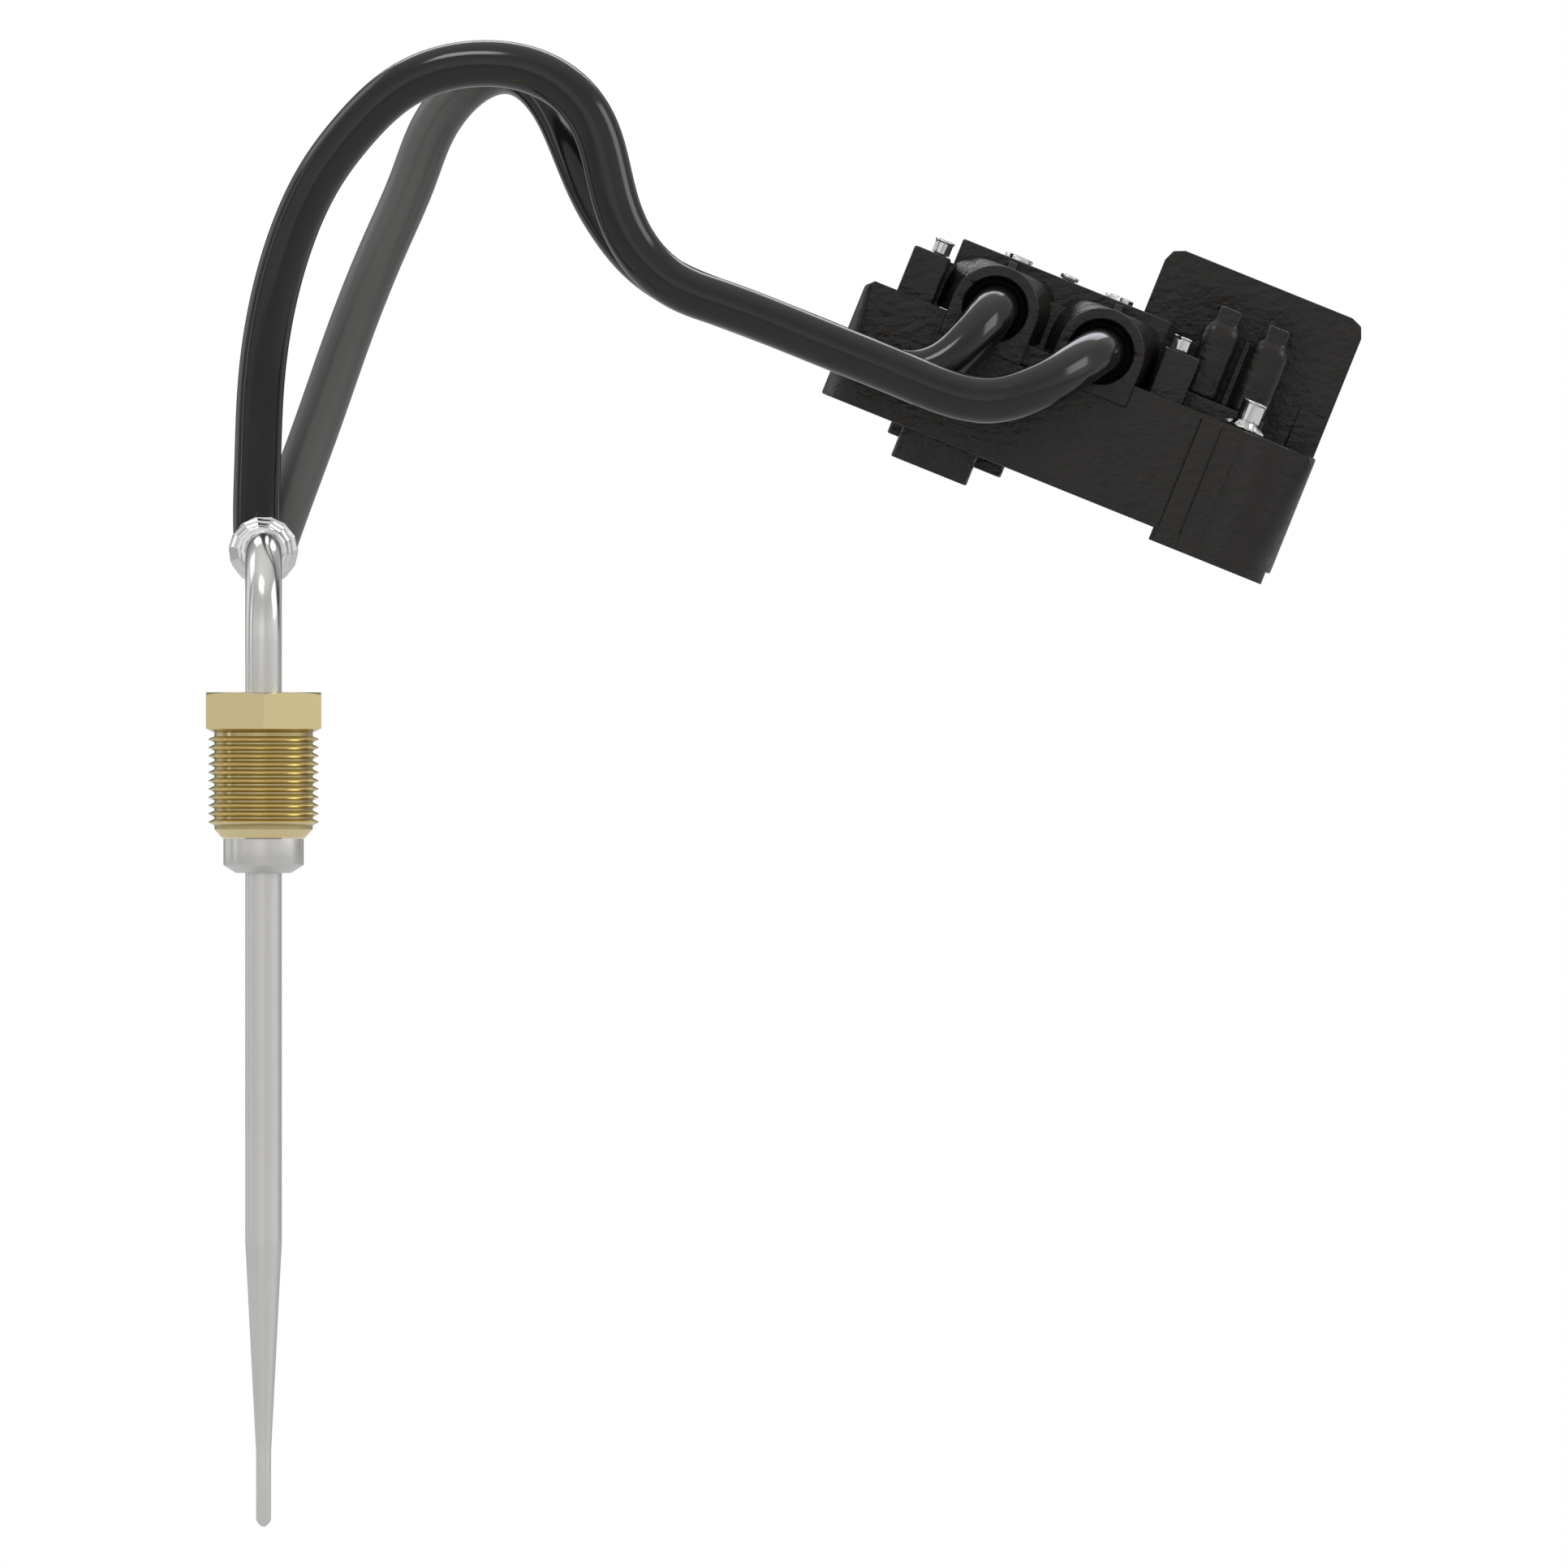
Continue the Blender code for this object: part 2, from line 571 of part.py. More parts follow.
def make_base_housing():
    body = box(BASE_X, BASE_Y, BASE_Z, radius=BASE_CORNER, chamfer=BASE_CHAMFER)
    base = place("base_housing", body, PLASTIC, block)
    join(base, rod(PILLAR_R, BASE_Z[0], BASE_Z[1] - 0.02, centre=(PILLAR_X, PILLAR_Y), segments=40), block)
    join(base, box(WEB_X, WEB_Y, (BASE_Z[0] + 0.01, BASE_Z[1] - 0.6)), block)
    join(base, box(FOOT_X, FOOT_Y, (FOOT_Z, BASE_Z[0] + 0.5), radius=2.0, segments=2), block)
    sunk = BASE_Z[1] - 1
    for x in (POST_LEFT_X, POST_RIGHT_X):
        join(base, box(x, POST_Y, (sunk, POST_TOP), radius=POST_CORNER, segments=2), block)
    join(base, box(PLATFORM_X, PLATFORM_Y, (sunk, PLATFORM_TOP), radius=POST_CORNER, segments=2), block)
    join(base, box(DIVIDER_X, DIVIDER_Y, (sunk + 0.5, DIVIDER_TOP), radius=0.5, segments=2), block)
    pocket = (SADDLE_FRONT - 2, SADDLE_BACK + GAP)
    cut(base, box((SADDLE_X[0] - GAP, SADDLE_X[1] + GAP), pocket, (SADDLE_BOTTOM - GAP, 12.0)), block)
    cut(base, box(CAVITY_X, CAVITY_Y, (BASE_Z[0] - 4, CAVITY_TOP)), block)
    cut(base, box(SIDE_CAVITY_X, SIDE_CAVITY_Y, SIDE_CAVITY_Z), block)
    for x in PORT_X:
        cut(base, box((x - WELL_HALF, x + WELL_HALF), WELL_Y, WELL_Z), block)
    slot_half = TAB_HALF + 0.5
    slot_t = TAB_T_HALF + GAP
    for x in TAB_X:
        cut(base, box((x - slot_half, x + slot_half), (TAB_Y - slot_t, TAB_Y + slot_t),
                      (WELL_Z[0], PLATFORM_TOP + 0.8)), block)
    cut(base, rod(INSERT_R + GAP, EARTH_BORE_LOW, 9.0, centre=(EARTH_X, EARTH_Y), segments=20), block)
    for x in POST_SCREW_X:
        cut(base, rod(SMALL_BORE_R, POST_BORE_LOW, POST_TOP + 1, centre=(x, POST_SCREW_Y), segments=12), block)
    cut(base, rod(SMALL_BORE_R, COVER_BORE_LOW, 9.0, centre=(COVER_SCREW_X, SCREW_Y), segments=12), block)
    for x in PLATE_SCREW_X:
        cut(base, rod(PLATE_SHANK_R + GAP, PLATE_SCREW_END - GAP, BASE_Y[1] + 2, "Y", (x, PLATE_SCREW_Z), 12),
            block)


def make_base_plate():
    plate = place("base_plate", box(FLOOR_X, FLOOR_Y, (BASE_Z[0], FLOOR_TOP)), PLASTIC, block)
    for x, y, end in ((BACK_SPIGOT_X, BACK_SPIGOT_Y, BACK_SPIGOT_END),
                      (FRONT_SPIGOT_X, FRONT_SPIGOT_Y, FRONT_SPIGOT_END)):
        join(plate, box(x, y, (end, BASE_Z[0] + 0.84), radius=SPIGOT_CORNER, segments=3), block)


def arch_outline(half, bottom, radius, power):
    """Outline of one port: an upright foot with a round head, widened to the given half width."""
    outline = [(-half, bottom), (half, bottom)]
    for i in range(17):
        angle = math.pi * i / 16
        across = math.cos(angle)
        outline.append((math.copysign(half * abs(across) ** power, across), PORT_Z + radius * math.sin(angle)))
    return outline


def arch_mesh(x, bottom, radius, sections):
    """One port body, lofted from front to back through outlines (depth, half width, power)."""
    bm = bmesh.new()
    rings = []
    for depth, half, power in sections:
        outline = arch_outline(half, bottom, radius, power)
        rings.append([bm.verts.new((x + across, depth, up)) for across, up in outline])
    bm.faces.new(rings[0])
    bm.faces.new(reversed(rings[-1]))
    count = len(rings[0])
    for front, back in zip(rings, rings[1:]):
        for i in range(count):
            j = (i + 1) % count
            bm.faces.new((front[i], back[i], back[j], front[j]))
    bmesh.ops.recalc_face_normals(bm, faces=bm.faces)
    bmesh.ops.triangulate(bm, faces=bm.faces)
    return finish_mesh(bm)


def make_cable_saddle():
    mid = (PORT_X[0] + PORT_X[1]) / 2
    bridge = box((mid - BRIDGE_HALF, mid + BRIDGE_HALF), (BRIDGE_FRONT, SADDLE_BACK - 0.2),
                 (SADDLE_BOTTOM + 0.1, BRIDGE_TOP))
    saddle = place("cable_saddle", bridge, PLASTIC, block)
    flange = [(SADDLE_FRONT, ARCH_R, 1.0), (SADDLE_FLANGE, ARCH_R, 1.0)]
    inner_r = ARCH_R - 0.05
    flare_bottom = BASE_Z[1] + GAP
    flare = [(SADDLE_FLANGE - 0.5, inner_r, 1.0), (SADDLE_BACK, FLARE_HALF, FLARE_POWER)]
    for x in PORT_X:
        join(saddle, arch_mesh(x, SADDLE_BOTTOM, ARCH_R, flange), block)
        foot = box((x - inner_r + 0.1, x + inner_r - 0.1), (SADDLE_FLANGE - 1.0, SADDLE_BACK - 0.05),
                   (SADDLE_BOTTOM + 0.05, flare_bottom + 0.7))
        join(saddle, foot, block)
        join(saddle, arch_mesh(x, flare_bottom, inner_r, flare), block)
        join(saddle, box((x - NIB_HALF, x + NIB_HALF), (NIB_FRONT, SADDLE_BACK - 0.3), NIB_Z), block)
    join(saddle, box((mid - COLUMN_HALF, mid + COLUMN_HALF), (SADDLE_BACK - 2.5, SADDLE_BACK - 0.1),
                     (BRIDGE_TOP - 1.3, COLUMN_TOP)), block)
    for x in PORT_X:
        cut(saddle, rod(PORT_R, SADDLE_FRONT - 1, PORT_DEPTH, "Y", (x, PORT_Z), 32), block)
        cut(saddle, rod(PIN_HOLE_R, PORT_DEPTH - 1, SADDLE_BACK + 1, "Y", (x, PORT_Z), 12), block)


def make_ports():
    for number, x in enumerate(PORT_X, 1):
        profile = ring_profile(LEAD_D / 2 + GAP, PORT_R - GAP, *BUSH_Y)
        turned(f"port_bush_{number}", profile, RUBBER, steps=24, ring=True, parent=block, at=(x, 0, PORT_Z),
               along_y=True)
        place(f"lead_pin_{number}", rod(PIN_R, *PIN_Y, "Y", (x, PORT_Z), 12), TIN, block, smooth=True)


def make_terminal_cover():
    cover = place("terminal_cover", box(COVER_X, COVER_Y, (BASE_Z[1] + GAP, COVER_TOP), radius=0.6,
                                        segments=2), PLASTIC, block)
    wall = COVER_WALL
    cut(cover, box((COVER_X[0] + wall, COVER_X[1] - wall), (COVER_Y[0] + wall, COVER_Y[1] - wall),
                   (BASE_Z[1] - 2, COVER_CEILING)), block)
    for x in PORT_X:
        cut(cover, rod(PIN_HOLE_R, COVER_Y[0] - 1, COVER_Y[0] + 3, "Y", (x, PORT_Z), 12), block)
    for x in SCREW_X:
        cut(cover, rod(SCREW_HEAD_R + GAP, SCREW_HEAD_Z[0] - GAP, COVER_TOP + 1, centre=(x, SCREW_Y),
                       segments=20), block)
        cut(cover, rod(SCREW_SHANK_R + 0.35, COVER_CEILING - 1, COVER_TOP, centre=(x, SCREW_Y),
                       segments=16), block)
    cut(cover, rod(SMALL_BORE_R, COVER_CEILING - 1, COVER_TOP + 1, centre=(COVER_SCREW_X, SCREW_Y),
                   segments=12), block)


def make_clamps():
    """Captive screws that draw the cages up against the fixed bars."""
    half_x, half_y = CAGE_HALF
    for number, (x, screw_x) in enumerate(zip(PORT_X, SCREW_X), 1):
        at = (screw_x, SCREW_Y, 0)
        off = x - screw_x
        screw = place(f"terminal_screw_{number}", rod(SCREW_HEAD_R, *SCREW_HEAD_Z, segments=24), BRIGHT,
                      block, at, smooth=True)
        join(screw, rod(SCREW_SHANK_R, SCREW_LOW, SCREW_HEAD_Z[0] + 0.2, segments=16), block, at)
        cut(screw, box((-3.0, 3.0), (-SLOT_HALF, SLOT_HALF), (SLOT_BOTTOM, 22.0)), block, at)
        cage = place(f"clamp_cage_{number}", box((off - half_x, off + half_x), (-half_y, half_y), CAGE_Z),
                     STEEL, block, at)
        window = CAGE_WINDOW_HALF
        cut(cage, box((off - window, off + window), (-half_y - 1, half_y + 1), CAGE_WINDOW_Z), block, at)
        cut(cage, rod(SCREW_SHANK_R + GAP, CAGE_WINDOW_Z[1] - 1, CAGE_Z[1] + 1, segments=16), block, at)


def make_busbars():
    inner = BAR_BACK[1] - 0.2
    for number, (x, tab_x) in enumerate(zip(PORT_X, TAB_X), 1):
        wide = (x - BAR_HALF, x + BAR_HALF)
        tab = (tab_x - TAB_HALF, tab_x + TAB_HALF)
        crossing = (x - BAR_HALF / 2, tab[1])
        bar = place(f"busbar_{number}", box(wide, (BAR_FRONT, BAR_BACK[1]), BAR_TOP), BRASS, block)
        join(bar, box(wide, BAR_BACK, (BAR_LOW[0], BAR_TOP[1] - 0.3)), block)
        if number == 1:
            join(bar, box(wide, (BAR_1_Y[0], inner), BAR_LOW), block)
            join(bar, box(crossing, BAR_1_Y, BAR_LOW), block)
        else:
            join(bar, box(crossing, (BAR_2_Y, inner), BAR_LOW), block)
            join(bar, box(tab, BAR_2_PAD_Y, BAR_LOW), block)
        join(bar, box(tab, (TAB_Y - TAB_T_HALF, TAB_Y + TAB_T_HALF), (BAR_LOW[0] + 0.4, TAB_TOP)), block)


def slotted_screw(name, x, y, head, shank, low):
    """A slotted screw whose head is (radius, bottom, top) with a thin wider rim at its top."""
    radius, bottom, top = head
    profile = [(0, top), (radius, top), (radius, top - 0.5), (radius - 0.15, top - 0.5),
               (radius - 0.15, bottom), (shank, bottom), (shank, low), (0, low)]
    screw = turned(name, profile, BRIGHT, steps=20, parent=block, at=(x, y, 0))
    cut(screw, box((-radius - 1, radius + 1), (-0.35, 0.35), (top - 0.8, top + 1)), block, (x, y, 0))


def make_small_screws():
    for side, x in zip(("left", "right"), POST_SCREW_X):
        slotted_screw(f"post_screw_{side}", x, POST_SCREW_Y, (1.85, POST_TOP + 0.15, 19.25), 1.2, 9.2)
    slotted_screw("cover_screw", COVER_SCREW_X, SCREW_Y, (1.76, COVER_TOP + 0.15, 21.75), 1.2, -0.8)
    slotted_screw("earth_screw", EARTH_X, EARTH_Y, (2.4, RING_TOP + GAP, 13.2), 1.7, -2.6)


def make_earth_parts():
    low = BASE_Z[1] + 0.1
    at = (EARTH_X, EARTH_Y, 0)
    washer = turned("earth_washer", ring_profile(*RING_R, low + 0.1, RING_TOP), BRIGHT, steps=24, ring=True,
                    parent=block, at=at)
    for i in range(TOOTH_COUNT):
        angle = 2 * math.pi * i / TOOTH_COUNT
        tooth = rod(TOOTH_R, *TOOTH_REACH, "Y", (0, 0), 4, end_radius=TOOTH_TIP_R)
        tooth.transform(Matrix.Translation((0, 0, low + TOOTH_RISE)))
        tooth.transform(Matrix.Rotation(angle, 4, "Z"))
        join(washer, tooth, block, at)
    insert = place("earth_insert", rod(INSERT_R, *INSERT_Z, segments=20), BRASS, block, at, smooth=True)
    cut(insert, rod(INSERT_BORE_R, INSERT_BORE_LOW, 9.0, segments=16), block, at)


def make_barrier_plate():
    front, back = PLATE_Y
    plate = place("barrier_plate", box(PLATE_X, PLATE_Y, (BASE_Z[0] + 1.0, PLATE_TOP), chamfer=PLATE_CORNER,
                                       chamfer_segments=2), PLASTIC, block)
    head_top = back - PLATE_HEAD_SINK
    for number, x in enumerate(PLATE_SCREW_X, 1):
        centre = (x, PLATE_SCREW_Z)
        cut(plate, rod(PLATE_SHANK_R + GAP, front - 1, back + 1, "Y", centre, 12), block)
        cut(plate, rod(PLATE_HEAD_R + GAP, PLATE_HEAD_Y - GAP, back + 1, "Y", centre, 20), block)
        turned(f"plate_screw_{number}", [
            (0, head_top), (PLATE_HEAD_R, head_top), (PLATE_HEAD_R, PLATE_HEAD_Y),
            (PLATE_SHANK_R, PLATE_HEAD_Y), (PLATE_SHANK_R, PLATE_SCREW_END), (0, PLATE_SCREW_END),
        ], BRIGHT, steps=20, parent=block, at=(x, 0, PLATE_SCREW_Z), along_y=True)


def make_tab_caps():
    half_x, half_y = CAP_SLOT_HALF
    for number, x in enumerate(TAB_X, 1):
        at = (x, TAB_Y, 0)
        cap = place(f"tab_cap_{number}", stack(CAP_SECTIONS), PLASTIC, block, at)
        cut(cap, box((-half_x, half_x), (-half_y, half_y), (CAP_SECTIONS[0][0] - 1, CAP_SLOT_TOP)), block, at)


make_sheath()
make_seat_collar()
make_gland_nut()
make_slip_washer()
make_inner_parts()
make_ferrule()
make_leads()
make_base_housing()
make_base_plate()
make_cable_saddle()
make_ports()
make_terminal_cover()
make_clamps()
make_busbars()
make_small_screws()
make_earth_parts()
make_barrier_plate()
make_tab_caps()
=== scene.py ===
"""The looks of the flame sensor probe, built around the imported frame.

The pieces and routes are in millimetres, and MM scales them to metres. The camera, the floor, the
lights and the materials are in metres. The terminal block has its own frame, as in the CAD: X along
its length, Y to its back, Z out of its top.
"""

import math

import bmesh
import bpy
import numpy as np
from mathutils import Matrix, Vector


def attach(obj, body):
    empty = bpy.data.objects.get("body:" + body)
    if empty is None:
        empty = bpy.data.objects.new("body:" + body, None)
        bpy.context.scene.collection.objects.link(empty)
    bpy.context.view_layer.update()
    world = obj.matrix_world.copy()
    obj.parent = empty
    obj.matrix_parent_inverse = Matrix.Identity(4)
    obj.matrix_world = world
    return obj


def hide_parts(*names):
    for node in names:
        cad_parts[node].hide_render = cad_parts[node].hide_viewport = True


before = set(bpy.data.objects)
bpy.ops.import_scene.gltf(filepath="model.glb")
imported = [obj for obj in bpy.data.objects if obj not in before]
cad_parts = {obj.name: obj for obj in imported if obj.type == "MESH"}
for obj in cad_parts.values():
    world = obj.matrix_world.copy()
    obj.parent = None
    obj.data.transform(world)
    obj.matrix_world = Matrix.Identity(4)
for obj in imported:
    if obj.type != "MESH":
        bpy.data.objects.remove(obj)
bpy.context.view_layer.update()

MM = 0.001
BLOCK_AT = Vector((150.03, 52.0, 76.91))
BLOCK_LEAN = 22.0
BLOCK = Matrix.Translation(BLOCK_AT) @ Matrix.Rotation(math.radians(BLOCK_LEAN), 4, "Y")


def block_point(x, y, z):
    """A point of the block's frame, in the probe's frame."""
    return tuple(BLOCK @ Vector((x, y, z)))


# ---- Camera, floor and light ----

VIEW_WIDTH = 0.28412
VIEW_X = 0.0943
VIEW_Y = -2.0
VIEW_Z = 0.00985
VIEW_REACH = 20.0
FLOOR_Z = -0.135
FLOOR_HALF = 4.0
LIGHTS_AIM = (VIEW_X, 0.04, 0.03)
WHITE = (1.0, 1.0, 1.0)
COOL_WHITE = (0.91, 0.93, 1.0)
# Each soft light: name, place, size, power and colour.
SOFT_LIGHTS = [("key", (-0.20, -0.50, 1.00), (0.40, 0.26), 2.0, WHITE),
               ("right", (0.95, -0.15, 0.55), (0.45, 0.45), 1.6, WHITE),
               ("top_back", (0.1, 0.8, 0.7), (0.9, 0.35), 2.6, COOL_WHITE),
               ("left_back", (-0.75, 0.45, 0.75), (0.5, 0.4), 0.7, COOL_WHITE)]


def add_camera():
    data = bpy.data.cameras.new("camera")
    data.type = "ORTHO"
    data.ortho_scale = VIEW_WIDTH
    data.clip_end = VIEW_REACH
    camera = bpy.data.objects.new("camera", data)
    camera.location = (VIEW_X, VIEW_Y, VIEW_Z)
    camera.rotation_euler = (math.radians(90), 0, 0)
    bpy.context.scene.collection.objects.link(camera)
    bpy.context.scene.camera = camera


def add_floor():
    bm = bmesh.new()
    bmesh.ops.create_grid(bm, x_segments=1, y_segments=1, size=FLOOR_HALF)
    mesh = bpy.data.meshes.new("floor")
    bm.to_mesh(mesh)
    bm.free()
    floor = bpy.data.objects.new("floor", mesh)
    floor.location = (VIEW_X, 0, FLOOR_Z)
    bpy.context.scene.collection.objects.link(floor)
    pale = bpy.data.materials.new("pale_floor")
    pale.use_nodes = True
    shader = pale.node_tree.nodes["Principled BSDF"]
    shader.inputs["Base Color"].default_value = (0.66, 0.66, 0.66, 1)
    shader.inputs["Roughness"].default_value = 0.9
    mesh.materials.append(pale)


def add_soft_light(name, at, size, power, colour):
    data = bpy.data.lights.new(name, "AREA")
    data.shape = "RECTANGLE"
    data.size, data.size_y = size
    data.energy = power
    data.color = colour
    light = bpy.data.objects.new(name, data)
    light.location = at
    light.rotation_euler = (Vector(LIGHTS_AIM) - Vector(at)).to_track_quat("-Z", "Y").to_euler()
    bpy.context.scene.collection.objects.link(light)


def ramp_node(nodes, stops, interpolation="EASE"):
    ramp = nodes.new("ShaderNodeValToRGB")
    ramp.color_ramp.interpolation = interpolation
    elements = ramp.color_ramp.elements
    while len(elements) < len(stops):
        elements.new(0.5)
    for element, (position, value) in zip(elements, stops):
        element.position = position
        element.color = (value, value, value, 1)
    return ramp


# Studio brightness round the object at eye level, by turn: 0 straight behind it, 0.5 at the camera.
STUDIO_ROUND = [(0.0, 0.10), (0.045, 0.12), (0.085, 0.36), (0.13, 0.85), (0.17, 0.90), (0.205, 0.38),
                (0.240, 0.34), (0.247, 2.0), (0.256, 2.0), (0.263, 0.40), (0.33, 0.72), (0.40, 0.72),
                (0.46, 0.92), (0.50, 0.88), (0.53, 0.64), (0.57, 0.70), (0.66, 0.78), (0.75, 0.88),
                (0.80, 0.48), (0.86, 0.32), (0.91, 0.55), (0.95, 0.14), (1.0, 0.10)]
# Its brightness from straight down to straight up, away from eye level.
STUDIO_UP = [(0.0, 0.30), (0.35, 0.36), (0.5, 0.50), (0.66, 0.44), (0.80, 0.52), (1.0, 0.78)]
# How steep a direction is where eye level starts to give way, and where it has given way.
STUDIO_BLEND = (0.25, 0.70)


def add_world():
    """White behind the object, and a softly graded studio for light and reflections."""
    world = bpy.data.worlds.new("studio")
    bpy.context.scene.world = world
    world.use_nodes = True
    nodes, links = world.node_tree.nodes, world.node_tree.links
    nodes.clear()

    def math_node(operation, first, second=None):
        node = nodes.new("ShaderNodeMath")
        node.operation = operation
        for socket, value in zip(node.inputs, (first, second)):
            if isinstance(value, float):
                socket.default_value = value
            elif value is not None:
                links.new(value, socket)
        return node.outputs[0]

    def mapped(value, start, end):
        node = nodes.new("ShaderNodeMapRange")
        node.inputs["From Min"].default_value = start
        node.inputs["From Max"].default_value = end
        links.new(value, node.inputs["Value"])
        return node.outputs[0]

    coords = nodes.new("ShaderNodeTexCoord")
    split = nodes.new("ShaderNodeSeparateXYZ")
    links.new(coords.outputs["Generated"], split.inputs[0])
    x, y, z = split.outputs
    turn = mapped(math_node("ARCTAN2", x, math_node("MULTIPLY", y, -1.0)), -math.pi, math.pi)
    around = ramp_node(nodes, STUDIO_ROUND)
    links.new(turn, around.inputs[0])
    above = ramp_node(nodes, STUDIO_UP)
    links.new(mapped(z, -1, 1), above.inputs[0])
    level = nodes.new("ShaderNodeMix")
    level.data_type = "FLOAT"
    links.new(mapped(math_node("ABSOLUTE", z), *STUDIO_BLEND), level.inputs["Factor"])
    links.new(around.outputs[0], level.inputs["A"])
    links.new(above.outputs[0], level.inputs["B"])
    studio = nodes.new("ShaderNodeBackground")
    links.new(level.outputs[0], studio.inputs["Strength"])
    studio.inputs["Color"].default_value = (*WHITE, 1)
    white = nodes.new("ShaderNodeBackground")
    white.inputs["Color"].default_value = (*WHITE, 1)
    path = nodes.new("ShaderNodeLightPath")
    pick = nodes.new("ShaderNodeMixShader")
    links.new(path.outputs["Is Camera Ray"], pick.inputs[0])
    links.new(studio.outputs[0], pick.inputs[1])
    links.new(white.outputs[0], pick.inputs[2])
    out = nodes.new("ShaderNodeOutputWorld")
    links.new(pick.outputs[0], out.inputs[0])


add_camera()
add_floor()
add_world()
for soft_light in SOFT_LIGHTS:
    add_soft_light(*soft_light)
bpy.context.scene.view_settings.view_transform = "Standard"


# ---- Materials ----

def shader_of(mat):
    return mat.node_tree.nodes["Principled BSDF"]


def new_material(name, roughness=0.4, metallic=0.0):
    mat = bpy.data.materials.new(name)
    mat.use_nodes = True
    shader = shader_of(mat)
    shader.inputs["Roughness"].default_value = roughness
    shader.inputs["Metallic"].default_value = metallic
    return mat


def object_point(mat):
    """Where a point is in the object's own space, in metres."""
    return mat.node_tree.nodes.new("ShaderNodeTexCoord").outputs["Object"]


def object_axis(mat, axis):
    """How far along one of the object's own axes a point is, in metres."""
    split = mat.node_tree.nodes.new("ShaderNodeSeparateXYZ")
    mat.node_tree.links.new(object_point(mat), split.inputs[0])
    return split.outputs[axis]


def noise(mat, scale, stretch=(1, 1, 1), detail=3.0):
    """A noise value in the object's own space; scale counts features in each metre."""
    nodes, links = mat.node_tree.nodes, mat.node_tree.links
    mapping = nodes.new("ShaderNodeMapping")
    mapping.inputs["Scale"].default_value = stretch
    texture = nodes.new("ShaderNodeTexNoise")
    texture.inputs["Scale"].default_value = scale
    texture.inputs["Detail"].default_value = detail
    links.new(object_point(mat), mapping.inputs["Vector"])
    links.new(mapping.outputs[0], texture.inputs["Vector"])
    return texture.outputs["Fac"]


def spread(mat, value, low, high, start=0.3, end=0.7):
    """The value mapped from start to end onto low to high."""
    node = mat.node_tree.nodes.new("ShaderNodeMapRange")
    mat.node_tree.links.new(value, node.inputs["Value"])
    node.inputs["From Min"].default_value = start
    node.inputs["From Max"].default_value = end
    node.inputs["To Min"].default_value = low
    node.inputs["To Max"].default_value = high
    return node.outputs[0]


def colour_between(mat, value, first, second):
    node = mat.node_tree.nodes.new("ShaderNodeMix")
    node.data_type = "RGBA"
    node.inputs["A"].default_value = (*first, 1)
    node.inputs["B"].default_value = (*second, 1)
    mat.node_tree.links.new(value, node.inputs["Factor"])
    mat.node_tree.links.new(node.outputs["Result"], shader_of(mat).inputs["Base Color"])


def bump(mat, value, distance, strength=1.0, over=None):
    node = mat.node_tree.nodes.new("ShaderNodeBump")
    node.inputs["Strength"].default_value = strength
    node.inputs["Distance"].default_value = distance
    mat.node_tree.links.new(value, node.inputs["Height"])
    if over is not None:
        mat.node_tree.links.new(over, node.inputs["Normal"])
    mat.node_tree.links.new(node.outputs[0], shader_of(mat).inputs["Normal"])
    return node.outputs[0]


def rough(mat, value):
    mat.node_tree.links.new(value, shader_of(mat).inputs["Roughness"])


def make_moulded():
    """Black moulded plastic: a fine spark-eroded grain with soft uneven gloss."""
    mat = new_material("moulded_plastic")
    shader_of(mat).inputs["Specular IOR Level"].default_value = 0.42
    mottle = spread(mat, noise(mat, 160), 0, 1)
    colour_between(mat, mottle, (0.0105, 0.0088, 0.0075), (0.0145, 0.0124, 0.0106))
    rough(mat, spread(mat, noise(mat, 500, detail=4), 0.26, 0.38))
    ripples = bump(mat, noise(mat, 420, (1, 1, 1.7), 2), 0.0003, 0.8)
    bump(mat, noise(mat, 1300, detail=3), 0.0001, 0.8, ripples)
    return mat


def make_sleeving():
    """Extruded black sleeving: glossy, with faint unevenness in its gloss."""
    mat = new_material("sleeving")
    mottle = spread(mat, noise(mat, 90), 0, 1)
    colour_between(mat, mottle, (0.0095, 0.0088, 0.0082), (0.0122, 0.0113, 0.0105))
    rough(mat, spread(mat, noise(mat, 60, detail=2), 0.12, 0.16))
    bump(mat, noise(mat, 120, detail=1), 0.00003, 0.06)
    return mat


# Where along X the painted sheen on the sleeving starts to fade back to black, and where it's black.
PAINTED_SHEEN_X = (0.034, 0.048)


def make_painted_sheen_sleeving():
    """The same sleeving, rougher, and painted grey as a painted sheen on its way up from the ferrule."""
    mat = new_material("painted_sheen_sleeving")
    across = object_axis(mat, "X")
    painted_sheen = spread(mat, across, 1, 0, *PAINTED_SHEEN_X)
    # Painted sheen: lead 2's first stretch is painted grey where it would catch light, fading to black along
    # X.
    colour_between(mat, painted_sheen, (0.0095, 0.0090, 0.0088), (0.118, 0.116, 0.112))
    rough(mat, spread(mat, across, 0.30, 0.14, *PAINTED_SHEEN_X))
    bump(mat, noise(mat, 120, detail=1), 0.00003, 0.06)
    return mat


def make_steel(name, low, high, stretch, first, second, grain):
    """Drawn or turned stainless steel, whose grain runs where stretch is small."""
    mat = new_material(name, metallic=1.0)
    colour_between(mat, spread(mat, noise(mat, 120, detail=4), 0, 1), first, second)
    rough(mat, spread(mat, noise(mat, 700, stretch), low, high))
    bump(mat, noise(mat, 2600, stretch, detail=2), 0.00001, grain)
    return mat


# Where up the sheath its polish starts, and where it's full.
POLISH_Z = (0.028, 0.040)


